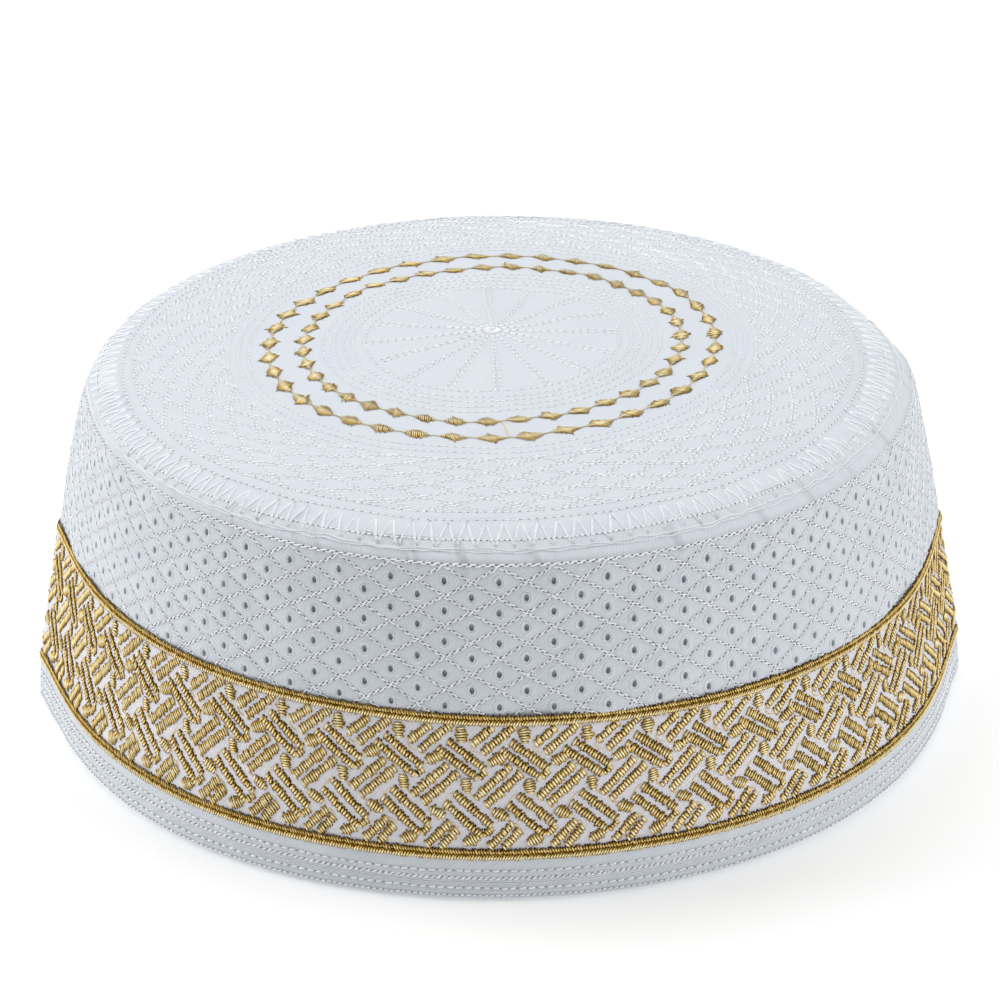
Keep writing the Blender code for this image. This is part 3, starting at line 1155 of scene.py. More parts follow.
@dataclass
class QuiltedCrown(SubAssembly):
    """The round quilted top, with its rings, spokes and lattice of stitches."""

    form: CapForm
    edge_radius: float = 81.1 * MM
    thickness: float = 1.6 * MM
    spokes: int = 16
    spoke_radius: float = 26.3 * MM
    spoke_gap: float = math.radians(1.5)
    inner_rings: tuple[float, ...] = (26.3, 28.8, 30.6, 32.7, 34.8)
    outer_rings: tuple[float, ...] = (50.3, 52.4, 54.7)
    edge_rings: tuple[float, ...] = (74.0, 76.4)
    repeats: int = 36
    first_cell: float = math.radians(-103.75)
    cell_radius: float = 71.8 * MM
    row_step: float = 2.4 * MM
    lattice_reach: tuple[float, float] = (54.7 * MM, 74.0 * MM)
    lattice_rows: int = 48
    columns: int = 432
    groove: float = 0.07 * MM
    twin_gap: float = 0.34 * MM
    edge_wave: float = 0.12 * MM
    gold_rings: tuple[float, float] = (46.2, 39.1)
    back_rings: tuple[tuple[float, int], ...] = (
        (79.5, 2), (76.0, 4), (70.0, 4), (60.0, 4), (50.0, 8), (38.0, 8), (26.0, 8), (14.0, 8), (6.0, 16),
    )
    chart: CrownChart = field(init=False)

    def __post_init__(self) -> None:
        """Lay out the plan and the cloth's unevenness."""
        self.chart = CrownChart(self.form)
        self.swell = Ripple(11, 17 * MM)
        self.pucker = Ripple(12, 4.2 * MM)

    def lattice_phases(self, x: Array, y: Array) -> tuple[Array, Array]:
        """Phases of the two families of lattice lines, which run at half numbers."""
        angle = (np.arctan2(y, x) - self.first_cell) / (TURN / self.repeats)
        row = (self.cell_radius - np.hypot(x, y)) / self.row_step
        return angle + row / 2, angle - row / 2

    def near_lines(self, x: Array, y: Array) -> Array:
        """How near each place is to a stitched line, 1 on the line."""
        radius = np.hypot(x, y)
        near = np.zeros(radius.shape)
        for ring in self.inner_rings + self.outer_rings + self.edge_rings:
            near = np.maximum(near, bell(radius - ring * MM, 0.55 * MM))
        spoke = to_line((np.arctan2(y, x) - FRONT) / (TURN / self.spokes) + 0.5) * TURN / self.spokes
        inside = radius < self.spoke_radius
        near = np.maximum(near, inside * bell(np.sin(spoke) * radius, 0.75 * MM))
        low, high = self.lattice_reach
        in_lattice = (radius > low) & (radius < high)
        per_metre = np.hypot(self.repeats / TURN / np.maximum(radius, low), 0.5 / self.row_step)
        for phase in self.lattice_phases(x, y):
            near = np.maximum(near, in_lattice * bell(to_line(phase) / per_metre, 0.62 * MM))
        return near

    def relief(self, x: Array, y: Array) -> Array:
        """The cloth's height over the form."""
        uneven = 0.16 * MM * self.swell(x, y) + 0.035 * MM * self.pucker(x, y)
        return uneven - self.groove * self.near_lines(x, y)

    def cloth(self) -> MeshStore:
        """Gather the crown's cloth: rings of points, fewer of them towards the middle."""
        store = MeshStore(place=3, fold=1)
        low, high = self.lattice_reach
        lattice = high - np.arange(1, self.lattice_rows + 1) * (high - low) / self.lattice_rows
        inner_edge = 9 * MM
        plain = self.outer_rings[1::-1] + self.gold_rings + self.inner_rings[::-1]
        stops = [low, *(ring * MM for ring in plain)]
        zones = (
            (even_steps([self.edge_radius, self.edge_rings[1] * MM, high], 0.55 * MM), 1),
            (lattice, 1),
            (even_steps(stops, 0.62 * MM)[1:], 2),
            (even_steps([self.spoke_radius, inner_edge], 0.8 * MM)[1:], 4),
            (even_steps([inner_edge, 1 * MM], 1.0 * MM)[1:], 8),
        )
        rings = [(radius, self.columns // share) for radii, share in zones for radius in radii]
        outer = self.add_rings(store, rings, self.relief, flip=False)
        back = [(self.edge_radius, self.columns)]
        back += [(radius * MM, self.columns // share) for radius, share in self.back_rings]
        inner = self.add_rings(store, back, lambda x, y: np.full(x.shape, -self.thickness), flip=True)
        store.add_grid(np.stack([inner, outer]))
        return store

    def add_rings(
        self, store: MeshStore, rings: Sequence[tuple[float, int]], relief: Relief, flip: bool
    ) -> Array:
        """Add rings of points from the edge to the middle, and the faces between them.

        Args:
            store: The mesh that is gathered.
            rings: Each ring's radius and how many points it has.
            relief: The height of the points over the form.
            flip: Whether the faces look inwards.

        Returns:
            The indices of the first ring's points.
        """
        first = before = None
        for radius, count in rings:
            turn = self.first_cell + TURN * np.arange(count) / count
            x, y = radius * np.cos(turn), radius * np.sin(turn)
            # Painted shade along the stitched grooves of the outer face.
            fold = 0.0 if flip else 0.4 * self.near_lines(x, y)
            ring = self.chart.add_cloth(store, x, y, relief(x, y), fold=fold)
            if before is None:
                first = ring
            elif len(before) != len(ring):
                store.add_bridge(before, ring, flip)
            else:
                grid = np.stack([before, ring])
                falling = None
                if not flip and self.lattice_reach[0] < radius < self.lattice_reach[1]:
                    turn = turn + math.pi / count
                    radius = radius + 0.2 * MM
                    left, right = self.lattice_phases(*polar(radius, turn).T)
                    falling = (to_line(left) > to_line(right))[None, :]
                store.add_grid(grid, flip, falling=falling)
            before = ring
        zero = np.zeros(1)
        points, _ = self.chart.lifted(zero, zero - 1e-5, relief(zero, zero))
        tip = store.add_points(points, place=np.zeros((1, 3)))
        store.add_fan(before, int(tip[0]), flip)
        return first

    def circle(self, radius: float, wave: float = 0.0) -> Array:
        """A ring on the plan, a little wavy where it is asked for."""
        turn = FRONT + np.linspace(0.0, TURN, 721)
        return polar(radius + wave * (np.sin(7 * turn + 1) + 0.6 * np.sin(17 * turn)), turn)

    def stitches(self) -> MeshStore:
        """Gather every white stitch of the crown."""
        sewn = Stitchery(self.chart, self.relief, seed=21)
        kind = StitchKind(pitch=1.6 * MM, rise=0.10 * MM, hole_shadow=0.71)
        sewn.run_along([self.circle(ring * MM) for ring in self.inner_rings + self.outer_rings], kind)
        edges = [self.circle(ring * MM, self.edge_wave) for ring in self.edge_rings]
        sewn.run_along(edges, replace(kind, hole_shadow=0.76))
        reach = np.linspace(0.5 * MM, self.spoke_radius, 30)
        for side in (-1, 1):
            turns = FRONT + side * self.spoke_gap + np.arange(self.spokes) * TURN / self.spokes
            sewn.run_along([polar(reach, turn) for turn in turns], kind)
        low, high = self.lattice_reach
        ends = (self.cell_radius - np.array([high, low])) / self.row_step
        row = np.linspace(*ends, 80)
        radius = self.cell_radius - row * self.row_step
        for lean in (-1, 1):
            starts = [index + 0.5 + lean * row / 2 for index in range(self.repeats)]
            lines = [polar(radius, self.first_cell + start * TURN / self.repeats) for start in starts]
            for side in (-1, 1):
                sewn.run_along(lines, kind, side * self.twin_gap, 0.5 + 0.22 * side)
        return sewn.store

    def build(self) -> list[bpy.types.Object]:
        """Build the crown's cloth and its stitches."""
        return [
            self.finish("quilted_crown", Slot.WHITE_COTTON, self.cloth(), "crown_top"),
            self.finish("crown_stitches", Slot.WHITE_THREAD, self.stitches()),
        ]


@dataclass
class GoldRings(SubAssembly):
    """The two rings of gold embroidered diamonds on the crown."""

    crown: QuiltedCrown
    diamonds: int = 39
    inner_radius: float = 39.05 * MM
    outer_radius: float = 46.15 * MM
    inner_start: float = math.radians(0.3)
    outer_start: float = math.radians(1.6)
    half_height: float = 2.2 * MM
    half_length: float = 0.40
    neck: float = 0.20 * MM
    stroke_pitch: float = 0.44 * MM
    slant: float = 0.35
    rise: float = 0.26 * MM
    step_line: tuple[tuple[float, float], ...] = ((-0.6, -39.0), (0.2, -39.9), (0.6, -43.2), (1.2, -46.1))
    loose_loop: tuple[tuple[float, float], ...] = ((4.2, 38.4), (4.4, 40.4), (4.9, 41.0), (5.2, 38.6))

    def ring(self, radius: float, start: float, seed: int) -> MeshStore:
        """Gather one ring.

        Args:
            radius: Its radius.
            start: Angle from the front at which it starts and ends.
            seed: Seed of the stitches' tones.

        Returns:
            The ring's mesh.
        """
        sewn = Stitchery(self.crown.chart, self.crown.relief, seed, side_shade=0.30, sides=4)
        pitch = TURN / self.diamonds
        strokes = round(pitch * radius / self.stroke_pitch)
        share = (np.arange(strokes) + 0.5) / strokes
        body = np.clip(1 - np.abs(share - 0.5) / self.half_length, 0.0, 1.0)
        half = self.neck + (self.half_height - self.neck) * body**0.85
        cells = np.arange(self.diamonds)[:, None]
        turn = (FRONT + start + (cells + share) * pitch).ravel()
        half = np.tile(half, self.diamonds) * sewn.draw.uniform(0.74, 1.24, len(turn))
        out = polar(1.0, turn)
        along = np.stack([-out[:, 1], out[:, 0]], axis=-1)
        middle = out * (radius + sewn.draw.normal(0.0, 0.08 * MM, (len(turn), 1)))
        stroke = (out + along * self.slant) * half[:, None]
        width = np.tile(0.10 * MM + 0.08 * MM * body, self.diamonds)[:, None]
        # A little less painted shade than the plain stitches get.
        sewn.satin(middle, stroke, self.rise, width, -0.08)
        ends = FRONT + start + (cells + np.array([0.12, 0.88])) * pitch
        half_widths = np.array([0.0, 0.3, 0.6, 0.3, 0.0]) * self.half_height
        sewn.pad(polar(radius, ends), half_widths, 0.08 * MM)
        return sewn.store

    def build(self) -> list[bpy.types.Object]:
        """Build both rings, the thread that steps from one to the other, and a loose loop."""
        inner = self.ring(self.inner_radius, self.inner_start, 31)
        outer = self.ring(self.outer_radius, self.outer_start, 32)
        step = Stitchery(self.crown.chart, self.crown.relief, 33)
        step.trace(np.array(self.step_line) * MM, 0.16 * MM, 0.2 * MM, 12)
        step.trace(np.array(self.loose_loop) * MM, 0.2 * MM, 0.3 * MM, 12)
        gold = Slot.GOLD_THREAD
        return [
            self.finish("inner_diamonds", gold, inner, "diamond_ring_inner"),
            self.finish("outer_diamonds", gold, outer, "diamond_ring_outer"),
            self.finish("ring_step_thread", gold, step.store),
        ]


@dataclass
class PiercedWall(WallPart):
    """The tall wall: a lattice of twin stitch lines with an eyelet in each cell."""

    repeats: int = 53
    first_eyelet: float = -4.5 * MM
    row_levels: tuple[float, ...] = (
        72.40, 69.25, 66.10, 63.00, 59.90, 56.60, 53.25, 49.75, 46.25, 42.75, 39.25,
    )
    eyelet_rows: int = 9
    low_edge: float = WallChart.cord_level
    top_line: float = WallChart.top_level
    high_edge: float = 76.4 * MM
    thickness: float = 1.6 * MM
    tile_columns: int = 12
    tile_rows: int = 6
    hole: tuple[float, float] = (0.50 * MM, 0.78 * MM)
    rim: tuple[float, float] = (0.72 * MM, 1.0 * MM)
    rim_rise: float = 0.06 * MM
    hole_sink: float = 0.04 * MM
    shade_inside: float = 1.6
    groove: float = 0.13 * MM
    twin_gap: float = 0.14 * MM
    lining_depth: float = 0.8 * MM
    lining_thickness: float = 0.5 * MM
    lining_columns: int = 212
    lining_shade: float = 1.5
    row_pitch: float = 3.3 * MM

    def __post_init__(self) -> None:
        """Set the repeat's width and the cloth's unevenness."""
        self.period = self.chart.girth / self.repeats
        self.swell = self.ripple(41, 21 * MM)
        self.pucker = self.ripple(42, 3.6 * MM)
        self.gather = self.ripple(43, 5.0 * MM, stretch=5.0)
        self.pleats = Pleats(44, self.chart.girth)

    def row_at(self, level: Array) -> Array:
        """Row number at a level, with the eyelet rows at 0, 1, 2 and so on down the wall."""
        levels = np.array(self.row_levels[::-1]) * MM
        rows = np.arange(len(levels))[::-1] - 1.0
        return np.interp(level, levels, rows)

    def level_at(self, row: Array) -> Array:
        """Level of a row number."""
        return np.interp(row, np.arange(len(self.row_levels)) - 1.0, np.array(self.row_levels) * MM)

    def lattice_phases(self, x: Array, y: Array) -> tuple[Array, Array]:
        """Phases of the two families of lattice lines, which run at half numbers."""
        column = (x - self.first_eyelet) / self.period
        row = self.row_at(y)
        return column + row / 2, column - row / 2

    def cell_at(self, x: Array, y: Array) -> Array:
        """Places counted in the pattern's columns and rows, with a 1 where the rows have eyelets."""
        row = self.row_at(y)
        pierced = (row > -0.5) & (row < self.eyelet_rows - 0.5)
        return np.stack([(x - self.first_eyelet) / self.period, row, pierced.astype(float)], axis=-1)

    def near_lines(self, x: Array, y: Array) -> Array:
        """How near each place is to a stitched line, 1 on the line."""
        near = bell(y - self.top_line, 0.6 * MM)
        below = y < self.top_line + 0.1 * MM
        per_metre = math.hypot(1 / self.period, 0.5 / self.row_pitch)
        for phase in self.lattice_phases(x, y):
            near = np.maximum(near, below * bell(to_line(phase) / per_metre, 0.62 * MM))
        return near

    def strip(self, y: Array) -> Array:
        """How far a level is into the pleated strip over the pierced cells."""
        return smoothstep(self.top_line - 4 * MM, self.top_line + 1 * MM, y)

    def unevenness(self, x: Array, y: Array) -> Array:
        """The swells and pleats of the wall, without its stitched lines."""
        strip = self.strip(y)
        uneven = 0.22 * MM * self.swell(x, y) + 0.04 * MM * self.pucker(x, y)
        return uneven + 0.08 * MM * strip * self.gather(x, y) + self.pleats(x, strip)

    def relief(self, x: Array, y: Array) -> Array:
        """The cloth's height over the form."""
        return self.unevenness(x, y) - self.groove * self.near_lines(x, y)

    def fold(self, x: Array, y: Array) -> Array:
        """How much painted shade each place gets, along the stitched lines and the pleats."""
        return 0.7 * self.near_lines(x, y) + 1.5 * self.pleats.creased(x) * self.strip(y)

    def centres(self, first: int) -> Array:
        """Find the middle of each eyelet in the grid of the outer face.

        Args:
            first: Index of the grid row where the eyelet tiles start.

        Returns:
            The grid row and column of each eyelet, from the lowest row of eyelets up.
        """
        wide, high = self.tile_columns, self.tile_rows
        places = []
        for row in range(self.eyelet_rows):
            offset = wide // 2 if (self.eyelet_rows - 1 - row) % 2 == 0 else wide
            for tile in range(self.repeats):
                column = (tile * wide + offset) % (self.repeats * wide)
                places.append((first + row * high + high // 2, column))
        return np.array(places)

    def add_eyelets(self, store: MeshStore, x: Array, y: Array, rims: Array) -> Array:
        """Add the pressed rim and the hole of each eyelet, through the cloth.

        Args:
            store: The mesh that is gathered.
            x: First plan coordinates of the eyelets' middles, one in each row.
            y: Second plan coordinates of their middles.
            rims: Point indices of the cloth round each eyelet.

        Returns:
            The point indices of the holes at the inner face.
        """
        turn = TURN * np.arange(rims.shape[1]) / rims.shape[1]
        base = self.relief(x, y)
        # The hole's inner face takes painted shade; the rim and the top of the hole take none.
        for (half_wide, half_high), lift, fold in (
            (self.rim, base + self.rim_rise, 0.0),
            (self.hole, base - self.hole_sink, 0.0),
            (self.hole, -self.thickness, self.shade_inside),
        ):
            ring_x, ring_y = x + half_wide * np.cos(turn), y + half_high * np.sin(turn)
            cell = self.cell_at(ring_x, ring_y)
            ring = self.chart.add_cloth(store, ring_x, ring_y, lift, fold=fold, cell=cell)
            quads = np.stack([rims, np.roll(rims, -1, 1), np.roll(ring, -1, 1), ring], axis=-1)
            store.add_faces(quads.reshape(-1, 4))
            rims = ring
        return rims

    def cloth(self) -> MeshStore:
        """Gather the wall's cloth with its eyelet holes cut through."""
        store = MeshStore(place=3, fold=1, cell=3)
        wide, high = self.tile_columns, self.tile_rows
        rows = self.eyelet_rows
        tile_levels = self.level_at(rows - 0.5 - np.arange(rows * high + 1) / high)
        below = even_steps([self.low_edge, tile_levels[0]], 0.5 * MM)[:-1]
        above = even_steps([tile_levels[-1], self.top_line, self.high_edge], 0.55 * MM)[1:]
        levels = np.concatenate([below, tile_levels, above])
        columns = self.repeats * wide
        tiles_across = np.arange(columns) / wide - 0.5 - self.repeats // 2
        across = self.first_eyelet + tiles_across * self.period
        x, y = np.meshgrid(across, levels)
        cell = self.cell_at(x, y)
        outer = self.chart.add_cloth(store, x, y, self.relief(x, y), fold=self.fold(x, y), cell=cell)
        centres = self.centres(len(below))
        keep = np.ones((len(levels) - 1, columns), bool)
        half = high // 2 - 1
        for row_step in range(-half, half):
            for column_step in (-1, 0):
                keep[centres[:, 0] + row_step, (centres[:, 1] + column_step) % columns] = False
        middle_x, middle_y = x + 0.5 * self.period / wide, y.copy()
        middle_y[:-1] = (y[:-1] + y[1:]) / 2
        left, right = self.lattice_phases(middle_x, middle_y)
        falling = (to_line(left) > to_line(right) + 1e-6)[:-1]
        store.add_grid(outer, keep=keep, falling=falling)
        border = np.array([(1, 0), (1, 1), (1, 2), (0, 2), (-1, 2), (-1, 1)])
        border = np.concatenate([border, -border])
        rims = outer[centres[:, :1] + border[:, 1], (centres[:, 1:] + border[:, 0]) % columns]
        centre_x, centre_y = across[centres[:, 1]][:, None], levels[centres[:, 0]][:, None]
        holes = self.add_eyelets(store, centre_x, centre_y, rims)
        self.add_lining(store, across, levels, len(below), holes, outer)
        return store

    def add_lining(
        self, store: MeshStore, across: Array, levels: Array, first: int, holes: Array, outer: Array
    ) -> None:
        """Add the inner face, with a few faces round each hole, and close the strip's edges.

        Args:
            store: The mesh that is gathered.
            across: Places of the outer columns.
            levels: Levels of the outer rows.
            first: Index of the outer row where the eyelet tiles start.
            holes: Point indices of the holes at the inner face, a row for each.
            outer: Point indices of the outer face.
        """
        every = self.tile_columns // 2
        tile_rows = levels[first + np.arange(self.eyelet_rows + 1) * self.tile_rows]
        rows = np.concatenate([[levels[0]], tile_rows, [self.top_line + 1.2 * MM, levels[-1]]])
        x, y = np.meshgrid(across[::every], rows)
        inner = self.chart.add_cloth(store, x, y, -self.thickness)
        store.add_grid(inner[:2], flip=True)
        store.add_grid(inner[-3:], flip=True)
        count = inner.shape[1]
        tiles = np.arange(self.repeats)
        corner_steps = ((1, 1), (0, 1), (-1, 1), (-1, 0), (0, 0), (1, 0))
        for row in range(self.eyelet_rows):
            offset = 1 if (self.eyelet_rows - 1 - row) % 2 == 0 else 2
            middle = tiles * 2 + offset
            corners = [inner[1 + row + up, (middle + side) % count] for side, up in corner_steps]
            ring = holes[row * self.repeats:(row + 1) * self.repeats]
            for index in range(6):
                start = 2 * index
                for step in (0, 1):
                    a, b = ring[:, start + step], ring[:, (start + step + 1) % 12]
                    store.add_faces(np.stack([corners[index], b, a], axis=-1), flip=True)
                far = ring[:, (start + 2) % 12]
                fan = [corners[index], corners[(index + 1) % 6], far]
                store.add_faces(np.stack(fan, axis=-1), flip=True)
        store.add_bridge(outer[0], inner[0], flip=True)
        store.add_bridge(outer[-1], inner[-1])

    def stitches(self) -> MeshStore:
        """Gather the wall's white stitches."""
        sewn = Stitchery(self.chart, self.relief, seed=51)
        kind = StitchKind(pitch=1.75 * MM)
        ends = self.row_at(self.top_line) + 0.02, self.row_at(self.low_edge + 0.8 * MM)
        row = np.linspace(*ends, 60)
        level = self.level_at(row)
        for lean in (-1, 1):
            starts = [index + 0.5 + lean * row / 2 for index in range(self.repeats)]
            lines = [np.stack([self.first_eyelet + start * self.period, level], axis=-1) for start in starts]
            for side in (-1, 1):
                sewn.run_along(lines, kind, side * self.twin_gap, 0.5 + 0.25 * side)
        for side in (-1, 1):
            line = self.chart.level_line(self.top_line)
            sewn.run_along([line], kind, side * self.twin_gap, 0.5 + 0.25 * side)
        return sewn.store

    def lining(self) -> MeshStore:
        """Gather the plain lining, painted grey with shade, that shows through the eyelets."""
        rows = even_steps([self.low_edge + 1 * MM, self.high_edge - 0.6 * MM], 4 * MM)
        sheet = StripSheet(
            self.chart,
            rows,
            self.lining_columns,
            self.lining_depth + self.lining_thickness,
            lambda x, y: self.unevenness(x, y) - self.lining_depth,
            inner_every=2,
        )
        # The whole lining takes the painted shade colour.
        return sheet.store(lambda x, y: np.full(x.shape, self.lining_shade))

    def build(self) -> list[bpy.types.Object]:
        """Build the wall's cloth, its lining and its stitches."""
        return [
            self.finish("pierced_wall", Slot.WHITE_COTTON, self.cloth(), "quilted_wall"),
            self.finish("wall_lining", Slot.WHITE_COTTON, self.lining()),
            self.finish("wall_stitches", Slot.WHITE_THREAD, self.stitches()),
        ]


@dataclass
class CrownSeam(WallPart):
    """The puckered fold where the crown meets the wall, with its zigzag of thread."""

    wall: PiercedWall
    low: float = 74.9 * MM
    high: float = 79.6 * MM
    thickness: float = 0.5 * MM
    zigzags: int = 144
    top_radius: float = 76.7 * MM
    zigzag_width: float = 0.08 * MM
    strand_gap: float = 0.12 * MM
    dots_level: float = 77.0 * MM
    loose_threads: tuple[tuple[float, float], ...] = ((75.2 * MM, 0.0), (74.8 * MM, 40 * MM))

    def __post_init__(self) -> None:
        """Set the fold's puckers."""
        self.gather = self.ripple(61, 3.4 * MM, count=20, stretch=6.0)

    def relief(self, x: Array, y: Array) -> Array:
        """The fold's height over the form: pressed flat on the wall, and puckered above it."""
        share = np.clip((y - self.low) / (self.high - self.low), 0.0, 1.0)
        pressed = self.wall.unevenness(x, y) * (1 - share) ** 1.5
        puckered = 0.05 * MM * self.gather(x, y) * smoothstep(0.0, 0.5, share)
        return pressed + 0.06 * MM * (1 - share**2) + puckered

    def above(self, x: Array, y: Array) -> Array:
        """The height of what the threads lie on, past the fold as well."""
        return np.maximum(self.relief(x, y), 0.02 * MM)

    def fold(self, x: Array, y: Array) -> Array:
        """How much painted shade each place gets, along the lower edge and the pleats."""
        return 0.1 * bell(y - self.low, 0.5 * MM) + 1.2 * self.wall.pleats.creased(x)

    def stitches(self) -> MeshStore:
        """Gather the zigzag, the row of dots and the two loose threads."""
        sewn = Stitchery(self.chart, self.above, seed=62)
        pitch = self.chart.girth / self.zigzags
        top = float(self.chart.form.length_at_radius(np.array(self.top_radius)))
        share = np.linspace(0.0, 1.0, 7)
        start = np.arange(self.zigzags)[:, None] * pitch
        jitter = sewn.draw.normal(0.0, 0.16 * MM, (self.zigzags, 1))
        tall = sewn.draw.normal(0.0, 0.22 * MM, (self.zigzags, 1))
        width = np.array([0.0, 1.0, 1.0, 1.0, 1.0, 1.0, 0.0]) * self.zigzag_width
        lift = np.array([-0.1, 0.10, 0.16, 0.18, 0.16, 0.10, -0.1]) * MM
        # Painted shadow at the ends of each zigzag stroke, where it dives in.
        reach = np.array([0.73, 0.65, 0.60, 0.60, 0.60, 0.65, 0.73])
        for half in (0, 1):
            height = 1 - share if half else share
            for strand in (-1, 1):
                x = start + jitter + (half + share) * pitch / 2 + strand * self.strand_gap
                y = self.low + 0.1 * MM + (top + tall - self.low) * height
                sewn.lay(np.stack([x, y], axis=-1), lift, width, width, reach)
        dots = StitchKind(pitch=1.15 * MM, fill=0.9, half_width=0.17 * MM)
        sewn.run_along([self.chart.level_line(self.dots_level, 1441)], dots)
        stray = self.ripple(63, 7 * MM)
        for level, aside in self.loose_threads:
            line = self.chart.level_line(level, 1441)
            line[:, 1] += 0.16 * MM * stray(line[:, 0] + aside, np.zeros(len(line)))
            # The loose threads take a little painted shade.
            sewn.trace(line, 0.10 * MM, 0.14 * MM, 480, 0.66)
        return sewn.store

    def build(self) -> list[bpy.types.Object]:
        """Build the fold and its threads."""
        rows = even_steps([self.low, self.high], 0.45 * MM)
        sheet = StripSheet(
            self.chart, rows, 720, self.thickness, self.relief, inner_every=6, inner_rows=4
        )
        return [
            self.finish("seam_fold", Slot.WHITE_COTTON, sheet.store(self.fold), "seam_binding"),
            self.finish("seam_zigzag", Slot.WHITE_THREAD, self.stitches()),
        ]


@dataclass(frozen=True)
class Knob:
    """One small satin knob of the basket pattern, in millimetres and degrees."""

    across: float
    level: float
    wide: float
    high: float
    stroke: float


@dataclass
class BasketBand(WallPart):
    """The strip of cloth with the woven basket embroidery."""

    low: float = WallChart.low_level
    high: float = WallChart.cord_level
    thickness: float = 1.6 * MM
    columns: int = 460
    repeats: int = 46
    knob_at: float = 0.2 * MM
    drawn_period: float = 12.1
    bar_width: float = 2.2 * MM
    stroke_pitch: float = 0.66 * MM
    half_stroke: float = 0.265 * MM
    slant: float = 0.32
    rise: float = 0.26 * MM
    pinch: float = 0.6 * MM
    pad_pinch: float = 2.4 * MM
    side_shade: float = 0.24
    # Painted shade on the falling bars, which face away from the light.
    falling_shade: float = 0.08
    join_width: float = 1.76 * MM
    knob_pitch: float = 0.52
    knob_share: float = 0.52
    knob_rise: float = 0.351 * MM
    bars: tuple[tuple[float, float, float, float], ...] = (
        (6.15, 38.6, 1.98, 34.8), (10.4, 39.1, 3.96, 33.0),
        (-2.7, 35.5, 4.6, 29.5), (-4.6, 33.9, 3.1, 27.6),
        (9.4, 30.3, 2.7, 23.25), (11.5, 28.7, 4.6, 21.8),
        (-1.35, 24.2, 5.8, 17.2), (-3.3, 22.0, 4.0, 14.9),
        (9.8, 17.7, 5.2, 12.4), (11.25, 16.4, 8.0, 12.1),
    )
    joins: tuple[tuple[float, float, float, float], ...] = (
        (4.75, 29.2, 3.35, 27.6), (5.95, 16.9, 4.3, 15.0),
    )
    knobs: tuple[Knob, ...] = (
        Knob(0.0, 36.9, 2.6, 3.2, 5.0),
        Knob(6.9, 31.7, 3.8, 2.8, 120.0),
        Knob(0.95, 25.9, 2.5, 3.0, 8.0),
        Knob(7.4, 19.8, 3.3, 2.9, 60.0),
        Knob(1.9, 14.0, 3.2, 3.0, 118.0),
    )
    turns: tuple[tuple[tuple[float, float], ...], ...] = (
        ((1.98, 34.8), (1.6, 34.1), (2.4, 33.2), (3.5, 32.8)),
        ((3.96, 33.0), (4.4, 32.3), (5.3, 32.6)),
        ((9.4, 30.3), (10.4, 30.4), (11.5, 28.9)),
        ((2.7, 23.25), (2.0, 23.6), (1.6, 24.8)),
        ((4.6, 21.8), (5.0, 21.0), (5.9, 20.9)),
        ((9.8, 17.7), (10.7, 17.6), (11.3, 16.5)),
        ((-1.35, 24.2), (-2.2, 23.9), (-3.2, 22.2)),
    )

    def __post_init__(self) -> None:
        """Set the repeat's width and the cloth's unevenness."""
        self.period = self.chart.girth / self.repeats
        self.swell = self.ripple(71, 15 * MM)
        self.pucker = self.ripple(72, 3.0 * MM)

    def relief(self, x: Array, y: Array) -> Array:
        """The cloth's height over the form."""
        return 0.10 * MM * self.swell(x, y) + 0.05 * MM * self.pucker(x, y)

    def spots(self, drawn: Array) -> Array:
        """Places on the plan of points drawn in one repeat, for every repeat round the cap."""
        shift = np.arange(self.repeats)[:, None] * self.period + self.knob_at
        across = drawn[:, 0] * self.period / self.drawn_period + shift
        along = np.broadcast_to(drawn[:, 1] * MM, across.shape)
        return np.stack([across, along], axis=-1)

    def add_pads(self, sewn: Stitchery, drawn: Array, half_width: Array, lift: float) -> None:
        """Lay a pad in every repeat that is clear of the creases.

        Args:
            sewn: The stitches that are gathered.
            drawn: The pad's two ends, in millimetres.
            half_width: Half its width at five stations along it.
            lift: Height of its middle above the cloth.
        """
        pads = self.spots(drawn)
        clear = self.chart.clear_of_creases(pads.mean(axis=1)[:, 0], self.pad_pinch)
        sewn.pad(pads[clear], half_width, lift)

    def add_bar(
        self, sewn: Stitchery, bar: tuple[float, float, float, float], width: float, shade: float
    ) -> None:
        """Sew one bar in every repeat.

        Args:
            sewn: The stitches that are gathered.
            bar: Its two ends, in millimetres.
            width: Its width.
            shade: How much more painted shade it gets than the brightest bars.
        """
        start, end = np.array(bar[:2]), np.array(bar[2:])
        run = end - start
        length = np.linalg.norm(run)
        count = max(3, round(float(length) * MM / self.stroke_pitch))
        share = ((np.arange(count) + 0.5) / count)[:, None]
        middle = self.spots(start + share * run).reshape(-1, 2)
        beside = np.array([-run[1], run[0]]) / length
        beside = beside * (1 if beside[1] > 0 else -1)
        steep = math.atan2(beside[0], beside[1])
        turned = steep * (1 - self.slant)
        half = width / 2 / math.cos(steep - turned)
        stroke = np.array([math.sin(turned), math.cos(turned)]) * half
        strokes = stroke * sewn.draw.uniform(0.80, 1.14, (len(middle), 1))
        strokes = strokes + sewn.draw.normal(0.0, 0.07 * MM, strokes.shape)
        middle = middle + sewn.draw.normal(0.0, 0.05 * MM, middle.shape)
        clear = self.chart.clear_of_creases(middle[:, 0], self.pinch)
        sewn.satin(middle[clear], strokes[clear], self.rise, self.half_stroke, shade)
        inset = 0.25 / length * run
        pad_width = np.array([0.0, 0.24, 0.24, 0.24, 0.0]) * width
        self.add_pads(sewn, np.stack([start + inset, end - inset]), pad_width, 0.08 * MM)

